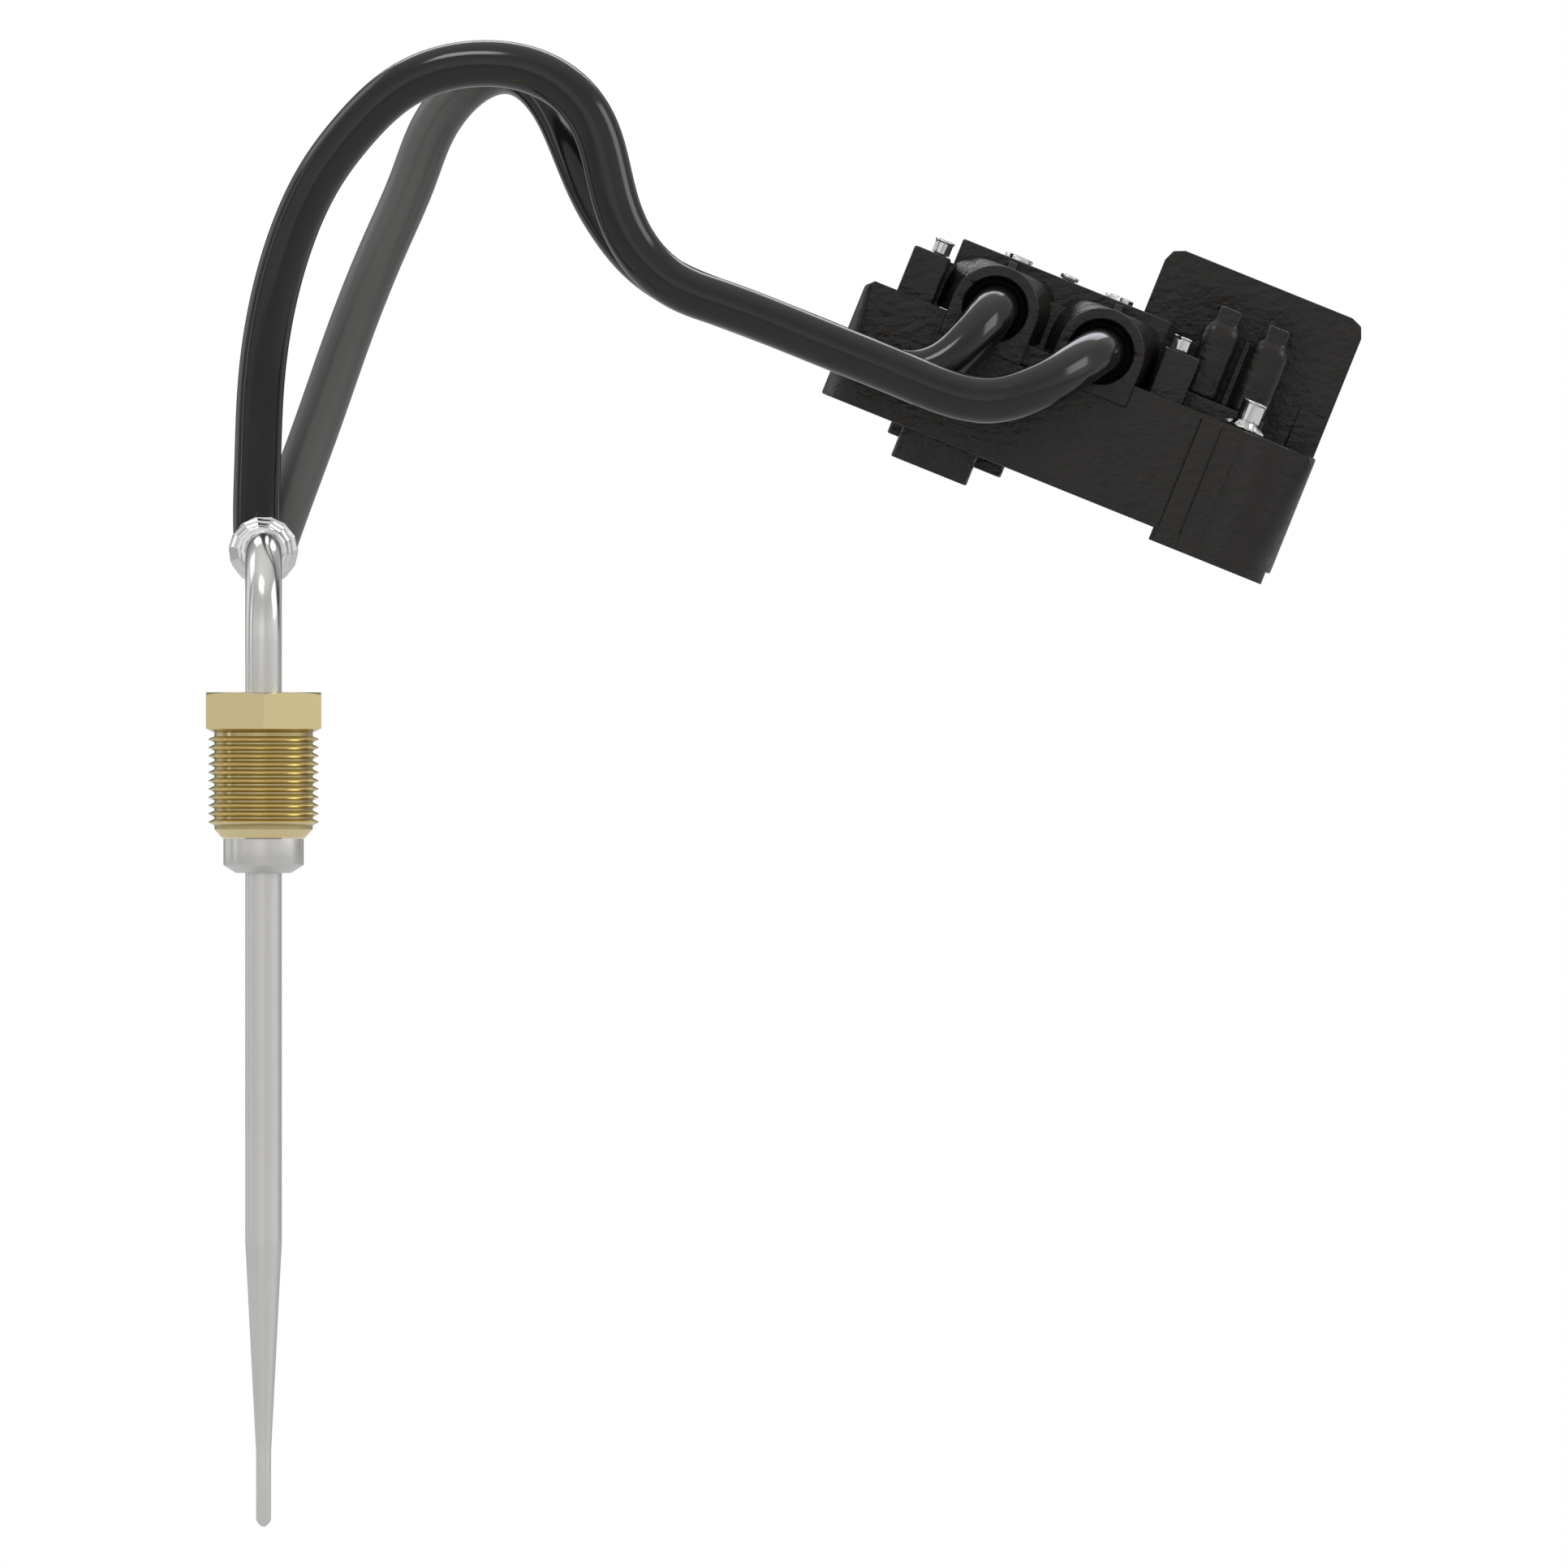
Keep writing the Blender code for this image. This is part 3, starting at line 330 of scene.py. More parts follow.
def make_sheath_steel():
    """Satin on the probe, polished from above the nut up to the bend."""
    mat = new_material("sheath_steel", metallic=1.0)
    mottle = spread(mat, noise(mat, 60, (1, 1, 0.4), 3), 0, 1)
    colour_between(mat, mottle, (0.73, 0.722, 0.704), (0.77, 0.76, 0.74))
    smoothed = mat.node_tree.nodes.new("ShaderNodeMath")
    smoothed.operation = "SUBTRACT"
    grain = spread(mat, noise(mat, 900, (1, 1, 0.03)), 0.30, 0.40)
    polish = spread(mat, object_axis(mat, "Z"), 0.0, 0.19, *POLISH_Z)
    mat.node_tree.links.new(grain, smoothed.inputs[0])
    mat.node_tree.links.new(polish, smoothed.inputs[1])
    rough(mat, smoothed.outputs[0])
    bump(mat, noise(mat, 1500, (1, 1, 0.02), 2), 0.00001, 0.05)
    return mat


# How unshaded the brass is between two distances off the axis: unshaded inside the roots and at the crests,
# darkened with painted shade down in the thread's roots.
ROOT_SHADE_RADII = (0.008, 0.010)
ROOT_SHADE_RAMP = [(0.0, 1.0), (0.42, 1.0), (0.45, 0.0), (0.50, 0.0), (0.95, 1.0)]


def make_brass():
    """Turned brass with fine tool rings, darkened with painted shade down in the thread's roots."""
    mat = new_material("turned_brass", metallic=1.0)
    nodes, links = mat.node_tree.nodes, mat.node_tree.links
    across = nodes.new("ShaderNodeVectorMath")
    across.operation = "MULTIPLY"
    across.inputs[1].default_value = (1, 1, 0)
    links.new(object_point(mat), across.inputs[0])
    radius = nodes.new("ShaderNodeVectorMath")
    radius.operation = "LENGTH"
    links.new(across.outputs[0], radius.inputs[0])
    unshaded = ramp_node(nodes, ROOT_SHADE_RAMP, "LINEAR")
    links.new(spread(mat, radius.outputs["Value"], 0, 1, *ROOT_SHADE_RADII), unshaded.inputs[0])
    # Painted shade: the brass is darker down in the thread's roots, where the ridges would shade it.
    colour_between(mat, unshaded.outputs[0], (0.57, 0.47, 0.24), (0.85, 0.71, 0.385))
    rough(mat, spread(mat, noise(mat, 900, (0.05, 0.05, 1), 2), 0.19, 0.25))
    bump(mat, noise(mat, 2400, (0.03, 0.03, 1), 2), 0.00001, 0.04)
    return mat


def make_rubber():
    mat = new_material("bush_rubber")
    shader_of(mat).inputs["Specular IOR Level"].default_value = 0.12
    colour_between(mat, noise(mat, 300), (0.0030, 0.0030, 0.0030), (0.0055, 0.0055, 0.0052))
    rough(mat, spread(mat, noise(mat, 900), 0.65, 0.85))
    bump(mat, noise(mat, 2500), 0.00002, 0.4)
    return mat


def make_ceramic():
    mat = new_material("ceramic")
    colour_between(mat, noise(mat, 400), (0.78, 0.75, 0.68), (0.86, 0.84, 0.79))
    rough(mat, spread(mat, noise(mat, 1200), 0.45, 0.65))
    bump(mat, noise(mat, 3000), 0.00001, 0.4)
    return mat


def make_resin():
    mat = new_material("potting_resin")
    colour_between(mat, noise(mat, 250), (0.030, 0.024, 0.022), (0.055, 0.045, 0.040))
    rough(mat, spread(mat, noise(mat, 400), 0.22, 0.42))
    bump(mat, noise(mat, 700), 0.00004, 0.4)
    return mat


MOULDED = make_moulded()
SLEEVING = make_sleeving()
PAINTED_SHEEN_SLEEVING = make_painted_sheen_sleeving()
SHEATH = make_sheath_steel()
SATIN = make_steel("satin_steel", 0.26, 0.38, (0.05, 0.05, 1), (0.69, 0.68, 0.66), (0.77, 0.76, 0.74), 0.12)
BRIGHT = make_steel("bright_steel", 0.07, 0.14, (1, 1, 1), (0.76, 0.76, 0.755), (0.84, 0.84, 0.83), 0.04)
BRASS = make_brass()
RUBBER = make_rubber()
CERAMIC = make_ceramic()
RESIN = make_resin()
WIRE = make_steel("element_wire", 0.28, 0.42, (1, 1, 0.1), (0.46, 0.41, 0.36), (0.55, 0.50, 0.45), 0.1)
TIN = make_steel("tinned_copper", 0.22, 0.36, (1, 1, 1), (0.66, 0.64, 0.61), (0.74, 0.72, 0.70), 0.1)


# ---- Leads ----

LEAD_D = 8.5
LEAD_ROUTES = (
    [(-1.2, 41.5, 53.6), (-1.3, 41.4, 58.0), (-1.1, 41.0, 67.0), (-0.4, 40.2, 83.0), (1.9, 39.0, 98.0),
     (5.1, 38.2, 109.0), (10.1, 37.2, 119.8), (16.8, 36.2, 128.8), (25.0, 35.2, 136.2),
     (32.0, 34.4, 139.3), (39.2, 33.7, 140.4), (47.0, 33.0, 139.6), (54.2, 32.3, 136.2),
     (59.4, 31.6, 130.1), (62.0, 31.1, 122.6), (63.8, 30.7, 115.2), (66.9, 30.3, 108.0),
     (71.5, 30.0, 102.5), (77.2, 29.8, 99.0),
     block_point(-71.0, -22.3, -6.6), block_point(-58.0, -22.3, -6.3), block_point(-46.0, -22.3, -6.3),
     block_point(-34.0, -22.3, -6.3), block_point(-25.0, -22.3, -6.2), block_point(-18.0, -22.2, -4.6),
     block_point(-12.2, -21.4, -0.6), block_point(-8.0, -18.6, 4.0), block_point(-5.2, -13.8, 8.0),
     block_point(-3.5, -8.2, 10.3), block_point(-2.8, -3.2, 11.0), block_point(-2.67, 1.5, 11.1),
     block_point(-2.67, 6.0, 11.1)],
    [(1.7, 50.5, 52.9), (3.5, 50.9, 58.0), (9.6, 54.4, 74.6), (15.8, 58.4, 92.2), (22.0, 62.0, 107.6),
     (27.3, 64.8, 120.0), (30.4, 65.7, 128.0), (33.6, 65.6, 133.0), (38.4, 63.8, 137.4),
     (44.2, 60.0, 139.1), (49.2, 55.5, 136.9), (53.2, 51.2, 131.7), (56.0, 47.6, 125.6),
     (60.0, 43.6, 116.3), (63.7, 41.2, 110.2), (68.3, 39.9, 104.8), (74.6, 39.1, 100.4),
     block_point(-71.0, -13.2, -6.6), block_point(-58.0, -13.2, -6.3), block_point(-46.0, -13.2, -6.3),
     block_point(-38.0, -13.3, -6.2), block_point(-32.2, -13.3, -4.9), block_point(-28.2, -13.0, -1.6),
     block_point(-25.9, -11.6, 2.7), block_point(-24.5, -9.0, 6.9), block_point(-23.7, -5.4, 9.8),
     block_point(-23.35, -1.8, 11.0), block_point(-23.33, 2.0, 11.1), block_point(-23.33, 6.0, 11.1)],
)
LEAD_LENGTHS = (0.267, 0.237)  # in metres
LEAD_SLEEVES = (SLEEVING, PAINTED_SHEEN_SLEEVING)
LEAD_STEP = 1.5
SPLINE_SAMPLES = 2000


def smooth_route(route, step):
    """Evenly spaced points along a cubic spline through the route's points."""
    p = np.array(route, float)
    t = np.concatenate([[0], np.cumsum(np.linalg.norm(np.diff(p, axis=0), axis=1))])
    h = np.diff(t)
    n = len(p)
    system = np.eye(n)
    right = np.zeros((n, 3))
    for i in range(1, n - 1):
        system[i, i - 1:i + 2] = (h[i - 1], 2 * (h[i - 1] + h[i]), h[i])
        right[i] = 6 * ((p[i + 1] - p[i]) / h[i] - (p[i] - p[i - 1]) / h[i - 1])
    bend = np.linalg.solve(system, right)
    fine = []
    for s in np.linspace(0, t[-1], SPLINE_SAMPLES):
        i = min(int(np.searchsorted(t, s, side="right")) - 1, n - 2)
        a, b = (t[i + 1] - s), (s - t[i])
        fine.append((bend[i] * a ** 3 + bend[i + 1] * b ** 3) / (6 * h[i])
                    + (p[i] / h[i] - bend[i] * h[i] / 6) * a
                    + (p[i + 1] / h[i] - bend[i + 1] * h[i] / 6) * b)
    fine = np.array(fine)
    run = np.concatenate([[0], np.cumsum(np.linalg.norm(np.diff(fine, axis=0), axis=1))])
    even = np.linspace(0, run[-1], max(2, round(run[-1] / step)) + 1)
    return [Vector([float(np.interp(s, run, fine[:, k])) for k in range(3)]) for s in even]


def tube_curve(name, points, radius, mat, resolution=10):
    curve = bpy.data.curves.new(name, "CURVE")
    curve.dimensions = "3D"
    curve.bevel_depth = radius * MM
    curve.bevel_resolution = resolution
    curve.use_fill_caps = True
    spline = curve.splines.new("POLY")
    spline.points.add(len(points) - 1)
    for point, at in zip(spline.points, points):
        point.co = (*(at * MM), 1.0)
    curve.materials.append(mat)
    obj = bpy.data.objects.new(name, curve)
    bpy.context.scene.collection.objects.link(obj)
    return obj


def make_leads():
    for number, (route, length, mat) in enumerate(zip(LEAD_ROUTES, LEAD_LENGTHS, LEAD_SLEEVES), 1):
        points = smooth_route(route, LEAD_STEP)
        lead = tube_curve(f"lead_sleeve_{number}", points, LEAD_D / 2, mat)
        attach(lead, "probe")
        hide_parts(f"lead_{number}")


make_leads()


# ---- Mesh tools ----

CENTRE_R = 0.02  # how near the axis a turned solid's end caps start


def finish_mesh(bm):
    mesh = bpy.data.meshes.new("piece")
    bmesh.ops.recalc_face_normals(bm, faces=bm.faces)
    bm.to_mesh(mesh)
    bm.free()
    return mesh


def bridge(bm, rings):
    """Faces between each ring of vertices and the next."""
    count = len(rings[0])
    for lower, upper in zip(rings, rings[1:]):
        for k in range(count):
            j = (k + 1) % count
            bm.faces.new((lower[k], lower[j], upper[j], upper[k]))


def skin_mesh(bm, rings):
    """A closed skin: the rings bridged, with a cap at each end."""
    bridge(bm, rings)
    bm.faces.new(rings[0])
    bm.faces.new(rings[-1])
    return finish_mesh(bm)


def bevel(bm, edges, offset, segments):
    bmesh.ops.bevel(bm, geom=edges, offset=offset, segments=segments, affect="EDGES", profile=0.5)


def edges_along(bm, axis, least):
    """The edges that run further than this along an axis, numbered from 0."""
    return [e for e in bm.edges if abs(e.verts[0].co[axis] - e.verts[1].co[axis]) > least]


def sharp_edges(bm, degrees):
    return [e for e in bm.edges if e.calc_face_angle(0) > math.radians(degrees)]


def plain_box(x, y, z):
    """A box between its limits, still open for more work."""
    bm = bmesh.new()
    bmesh.ops.create_cube(bm, size=1.0)
    bmesh.ops.scale(bm, vec=[high - low for low, high in (x, y, z)], verts=bm.verts)
    bmesh.ops.translate(bm, vec=[(low + high) / 2 for low, high in (x, y, z)], verts=bm.verts)
    return bm


def add_piece(name, mesh, mat, body, nodes=(), place=None, crease=35, keep_flat=False):
    """Links a mesh made in millimetres, riding on its body and standing for its CAD nodes."""
    if place is not None:
        mesh.transform(place)
    mesh.transform(Matrix.Scale(MM, 4))
    mesh.materials.clear()
    mesh.materials.append(mat)
    mesh.shade_smooth()
    mesh.set_sharp_from_angle(angle=math.radians(crease))
    piece = bpy.data.objects.new(name, mesh)
    bpy.context.scene.collection.objects.link(piece)
    if keep_flat:
        normals = piece.modifiers.new("flat_faces", "WEIGHTED_NORMAL")
        normals.keep_sharp = True
    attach(piece, body)
    if nodes:
        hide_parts(*nodes)
    return piece


SIDE_SHARE = 0.45  # how much of each side a rounded corner may take


def softened(outline, radius, closed=True, steps=3):
    """The outline with each corner rounded by a small curve of about this radius, or as it is for 0."""
    count = len(outline)
    result = []
    for i, corner in enumerate(outline):
        here = Vector(corner)
        if radius == 0 or (not closed and i in (0, count - 1)):
            result.append(tuple(here))
            continue
        before, after = Vector(outline[i - 1]), Vector(outline[(i + 1) % count])
        near = min(radius, (before - here).length * SIDE_SHARE, (after - here).length * SIDE_SHARE)
        start = here + (before - here).normalized() * near
        end = here + (after - here).normalized() * near
        for k in range(steps + 1):
            t = k / steps
            result.append(tuple(start * (1 - t) ** 2 + here * 2 * t * (1 - t) + end * t ** 2))
    return result


def turned_mesh(profile, segments=96, closed=True, along_y=False, phase=0.0):
    """A turned piece through a profile of (radius, height). An open profile gets flat end caps."""
    bm = bmesh.new()
    rings = []
    for radius, height in profile:
        ring = []
        for k in range(segments):
            angle = 2 * math.pi * (k + phase) / segments
            ring.append(bm.verts.new((radius * math.cos(angle), radius * math.sin(angle), height)))
        rings.append(ring)
    if closed:
        bridge(bm, rings + rings[:1])
        mesh = finish_mesh(bm)
    else:
        mesh = skin_mesh(bm, rings)
    if along_y:
        mesh.transform(Matrix.Rotation(math.radians(-90), 4, "X"))
    return mesh


def boolean(mesh, tools, operation):
    """The mesh after joining or cutting each tool, with nothing left behind in the scene."""
    collection = bpy.context.scene.collection
    target = bpy.data.objects.new("target", mesh)
    collection.objects.link(target)
    helpers = []
    for tool in tools:
        helper = bpy.data.objects.new("tool", tool)
        collection.objects.link(helper)
        helpers.append(helper)
        mod = target.modifiers.new("boolean", "BOOLEAN")
        mod.solver = "EXACT"
        mod.operation = operation
        mod.object = helper
    bpy.context.view_layer.update()
    made = bpy.data.meshes.new_from_object(target.evaluated_get(bpy.context.evaluated_depsgraph_get()))
    for obj in [target] + helpers:
        bpy.data.objects.remove(obj, do_unlink=True)
    return made


def block_box(x, y, z, edge=0.3, upright=0.0, chamfer=0.0, steps=6):
    """A moulded box: top end chamfers, rounded upright edges, then every other edge eased."""
    bm = plain_box(x, y, z)
    if chamfer:
        half_up = (z[0] + z[1]) / 2
        ends = [e for e in edges_along(bm, 1, (y[1] - y[0]) / 2) if e.verts[0].co.z > half_up]
        bevel(bm, ends, chamfer, 1)
    if upright:
        bevel(bm, edges_along(bm, 2, (z[1] - z[0]) / 2), upright, steps)
    if edge:
        bevel(bm, sharp_edges(bm, 30), edge, 3)
    return finish_mesh(bm)


def block_turning(profile, centre, segments=64, along_y=False):
    """A solid turned about the block's Z, or its Y, centred at the other two coordinates."""
    mesh = turned_mesh(profile, segments, closed=False, along_y=along_y)
    shift = (centre[0], 0, centre[1]) if along_y else (centre[0], centre[1], 0)
    mesh.transform(Matrix.Translation(shift))
    return mesh


def block_rod(radius, low, high, centre, edge=0.0, segments=64, along_y=False):
    """A round post, or a cutter for a round hole."""
    profile = [(CENTRE_R, low), (radius, low), (radius, high), (CENTRE_R, high)]
    return block_turning(softened(profile, edge, closed=False), centre, segments, along_y)


def stepped_hole(radius, low, wide, step, high, centre, along_y=False):
    """A cutter for a hole that is wide from its step on."""
    profile = [(CENTRE_R, low), (radius, low), (radius, step), (wide, step), (wide, high), (CENTRE_R, high)]
    return block_turning(profile, centre, along_y=along_y)


# ---- Probe ----

SHEATH_R = 3.31
TIP_R = 1.36
TAPER_TOP = -73.1
TAPER_END = -111.3
TIP_END = -124.7
BEND_R = 16.0
BEND_STEPS = 32
RUN_Z = 52.13
SHEATH_BACK = 24.5
# The sheath's straight length, from under the bend to the tip: (height, radius).
SHEATH_PROFILE = [(28.0, SHEATH_R), (0.0, SHEATH_R), (-40.0, SHEATH_R), (TAPER_TOP + 0.4, SHEATH_R),
                  (TAPER_TOP, SHEATH_R), (TAPER_TOP - 0.4, SHEATH_R - 0.02),
                  (TAPER_END + 0.4, TIP_R + 0.02), (TAPER_END, TIP_R), (TAPER_END - 0.4, TIP_R),
                  (TIP_END + 1.25, TIP_R), (TIP_END + 1.12, TIP_R - 0.04), (TIP_END + 0.5, 0.92),
                  (TIP_END + 0.18, 0.58), (TIP_END + 0.04, 0.3), (TIP_END, 0.1)]
BORE_R = 3.61
COLLAR_R = 7.28
COLLAR_TOP = -0.04
COLLAR_SHOULDER = -4.85
COLLAR_LOW = -6.28
SEAT_R = 5.0


def sweep_mesh(points, radii, segments=64):
    """A round rod through points that lie in a plane across X, with a radius at each."""
    bm = bmesh.new()
    rings = []
    side = Vector((1, 0, 0))
    for i, (point, radius) in enumerate(zip(points, radii)):
        ahead = Vector(points[min(i + 1, len(points) - 1)]) - Vector(points[max(i - 1, 0)])
        out = side.cross(ahead.normalized())
        ring = []
        for k in range(segments):
            angle = 2 * math.pi * k / segments
            spoke = side * math.cos(angle) + out * math.sin(angle)
            ring.append(bm.verts.new(Vector(point) + radius * spoke))
        rings.append(ring)
    return skin_mesh(bm, rings)


def make_sheath():
    points = [(0, SHEATH_BACK, RUN_Z), (0, (SHEATH_BACK + BEND_R) / 2, RUN_Z)]
    for i in range(BEND_STEPS + 1):
        angle = math.pi / 2 * i / BEND_STEPS
        points.append((0, BEND_R * (1 - math.sin(angle)), RUN_Z - BEND_R * (1 - math.cos(angle))))
    radii = [SHEATH_R] * len(points)
    for height, radius in SHEATH_PROFILE:
        points.append((0, 0, height))
        radii.append(radius)
    add_piece("sheath_tube", sweep_mesh(points, radii), SHEATH, "probe", ["probe_sheath"])


def make_collar():
    profile = [(BORE_R, COLLAR_TOP), (COLLAR_R, COLLAR_TOP), (COLLAR_R, COLLAR_SHOULDER),
               (SEAT_R, COLLAR_LOW), (BORE_R, COLLAR_LOW)]
    add_piece("seat_collar_turned", turned_mesh(softened(profile, 0.15)), SATIN, "probe",
              ["seat_collar"], crease=28)


HEX_FLATS = 20.9
HEX_BOTTOM = 19.85
HEX_TOP = 26.47
NUT_BOTTOM = 0.04
THREAD_R = 10.0
THREAD_ROOT_R = 8.92
THREAD_PITCH = 1.5
THREAD_CRESTS = 11
THREAD_TOP = 19.15
FIRST_CREST = 2.94
NOSE_R = 7.47
NOSE_TOP_R = 8.87
NOSE_TOP = 1.62
RECESS_R = 6.4
RECESS_TOP = 1.65
FACE_R = 10.25
HEX_TURNED_R = 12.3


def thread_outline():
    """The nut's outer outline from its bottom face to the hexagon: 60 degree ridges with eased crests."""
    crest, root, soft = 0.10, 0.16, 0.07
    outline = [(NOSE_R, NUT_BOTTOM), (NOSE_TOP_R, NOSE_TOP)]
    for i in range(THREAD_CRESTS):
        z = FIRST_CREST + i * THREAD_PITCH
        outline += [(THREAD_ROOT_R, z - THREAD_PITCH / 2 + root), (THREAD_R - soft, z - crest),
                    (THREAD_R, z - crest + soft), (THREAD_R, z + crest - soft), (THREAD_R - soft, z + crest),
                    (THREAD_ROOT_R, z + THREAD_PITCH / 2 - root)]
    return outline + [(THREAD_ROOT_R, THREAD_TOP), (FACE_R, HEX_BOTTOM - 0.02)]


def make_hexagon():
    """The nut's head: a hexagon bar with its upper corners turned off, bored through."""
    corner = HEX_FLATS / math.sqrt(3)
    bm = bmesh.new()
    bmesh.ops.create_cone(bm, cap_ends=True, segments=6, radius1=corner, radius2=corner,
                          depth=HEX_TOP - HEX_BOTTOM)
    bmesh.ops.translate(bm, vec=(0, 0, (HEX_TOP + HEX_BOTTOM) / 2), verts=bm.verts)
    bevel(bm, edges_along(bm, 2, 1.0), 0.12, 2)
    blank = [(CENTRE_R, HEX_BOTTOM - 1), (FACE_R + 0.1, HEX_BOTTOM - 0.1), (HEX_TURNED_R, HEX_BOTTOM - 0.1),
             (HEX_TURNED_R, HEX_TOP - 0.55), (10.2, HEX_TOP + 0.02), (CENTRE_R, HEX_TOP + 0.05)]
    bore = [(CENTRE_R, HEX_BOTTOM - 3), (BORE_R, HEX_BOTTOM - 3), (BORE_R, HEX_TOP - 0.3),
            (BORE_R + 0.8, HEX_TOP + 0.5), (CENTRE_R, HEX_TOP + 0.6)]
    head = boolean(finish_mesh(bm), [turned_mesh(blank, 96, closed=False)], "INTERSECT")
    return boolean(head, [turned_mesh(softened(bore, 0.05, closed=False), 64, closed=False)], "DIFFERENCE")


def make_nut():
    profile = [(RECESS_R, RECESS_TOP), (RECESS_R, NUT_BOTTOM)] + thread_outline()
    profile += [(FACE_R, HEX_BOTTOM + 1.0), (BORE_R, HEX_BOTTOM + 1.0), (BORE_R, RECESS_TOP)]
    nut = boolean(turned_mesh(profile, 160), [make_hexagon()], "UNION")
    add_piece("gland_nut_turned", nut, BRASS, "nut", ["gland_nut"], crease=22, keep_flat=True)


# The ferrule's three turned parts, as (radius, distance back), with a shift along X and a turn of the facets.
FERRULE_LIP = [(3.40, 18.15), (4.2, 18.15), (4.3, 18.4), (4.3, 19.6), (3.40, 19.6)]
FERRULE_BELL = [(3.75, 18.0), (4.35, 18.1), (4.6, 18.6), (4.3, 19.2), (4.75, 19.7), (5.15, 20.7),
                (4.95, 21.2), (5.55, 21.8), (5.9, 22.8), (5.9, 23.9), (5.5, 24.5), (5.5, 25.6), (3.75, 25.6)]
FERRULE_COLLAR = [(5.3, 25.2), (6.2, 25.8), (6.3, 26.2), (6.3, 30.6), (5.8, 31.2), (6.3, 31.8),
                  (6.3, 33.6), (6.1, 34.0), (5.3, 34.0)]
FERRULE_PARTS = [("ferrule_lip", FERRULE_LIP, 0, 0), ("ferrule_bell", FERRULE_BELL, -0.45, 0.25),
                 ("ferrule_collar", FERRULE_COLLAR, 0, 0)]
FERRULE_FACETS = 14
FACET_ANGLE = 4


def make_ferrule():
    """A faceted, stepped bell at the front and a wider crimped collar behind it."""
    for name, profile, shift, phase in FERRULE_PARTS:
        mesh = turned_mesh(profile, FERRULE_FACETS, along_y=True, phase=phase)
        piece = add_piece(name, mesh, BRIGHT, "probe", ["crimp_ferrule"],
                          place=Matrix.Translation((shift, 0, RUN_Z)), crease=FACET_ANGLE)
        edge = piece.modifiers.new("edge", "BEVEL")
        edge.width = 0.08 * MM
        edge.segments = 2
        edge.limit_method = "ANGLE"
        edge.angle_limit = math.radians(FACET_ANGLE)


# ---- Terminal block mouldings ----

BASE_X = (-46.8, 40.8)
BASE_Y = (0.0, 28.0)
BASE_Z = (-14.84, 7.62)
PORT_X = (-23.33, -2.67)
PORT_Z = 11.1
PORT_R = 5.92
ARCH_R = 7.95
POST_LEFT_X = (-41.1, -34.0)
POST_RIGHT_X = (7.85, 14.57)
POST_Y = (4.0, 11.0)
POST_TOP = 16.45
POST_SCREW_X = (-36.25, 10.36)
POST_SCREW_Y = 7.5
SMALL_HOLE_R = 1.5
SHANK_HOLE_R = 2.1
HEAD_HOLE_R = 2.95
SCREW_X = (-22.7, -3.1)
SCREW_Y = 19.5
COVER_X = (-33.4, 7.35)
COVER_Y = (12.3, 27.0)
COVER_WALL = 1.6
COVER_ROOF = 17.8
COVER_TOP = 20.8
COVER_SCREW_X = -12.93
HEAD_FLOOR = 19.2
LEAD_PIN_HOLE_R = 2.0
TAB_X = (16.58, 25.95)
TAB_Y = 19.2
PLATE_X = (1.87, 40.24)
PLATE_Y = (28.3, 31.3)
PLATE_Z = (-13.84, 33.8)
PLATE_SCREW_X = (9.0, 34.0)
PLATE_SCREW_Z = -2.0
PLATE_SEAT_Y = 29.7
PLATE_HOLE_R = 1.7
PLATE_SEAT_R = 2.9
# The two steps sunk into the plate: in from its sides, in from its top and bottom, depth.
PLATE_STEPS = [(5.4, 4.2, 0.3), (8.4, 7.4, 0.6)]
STEP_SLOPE = 1.3
PILLAR_AT = (31.1, 8.5)
PILLAR_R = 9.7
WEB_X = (18.7, 23.0)
WEB_FRONT = -0.6
FOOT_LEFT = 18.05
FOOT_RIGHT = 40.0
FOOT_BACK = 26.0
FOOT_LOW = -17.18
EARTH_X = 26.7
EARTH_Y = 8.0
EARTH_HOLE_R = 3.3


def add_moulding(name, mesh, nodes, body="probe", place=BLOCK):
    add_piece(name, mesh, MOULDED, body, nodes, place=place, crease=50, keep_flat=True)


def prism_mesh(outline, low, high):
    """A plan outline drawn up from one height to another."""
    bm = bmesh.new()
    return skin_mesh(bm, [[bm.verts.new((x, y, z)) for x, y in outline] for z in (low, high)])


def foot_outline():
    """The foot in plan: flush with the wall, the web and the pillar in front."""
    start = math.atan2(-PILLAR_AT[1], -math.sqrt(PILLAR_R ** 2 - PILLAR_AT[1] ** 2))
    end = -math.acos((FOOT_RIGHT - PILLAR_AT[0]) / PILLAR_R)
    arc_steps = 40
    arc = []
    for k in range(arc_steps + 1):
        angle = start + (end - start) * k / arc_steps
        arc.append((PILLAR_AT[0] + PILLAR_R * math.cos(angle), PILLAR_AT[1] + PILLAR_R * math.sin(angle)))
    web = [(WEB_X[0], 0), (WEB_X[0], WEB_FRONT), (WEB_X[1], WEB_FRONT), (WEB_X[1], 0)]
    return [(FOOT_LEFT, 0)] + web + arc + [(FOOT_RIGHT, FOOT_BACK), (FOOT_LEFT, FOOT_BACK)]


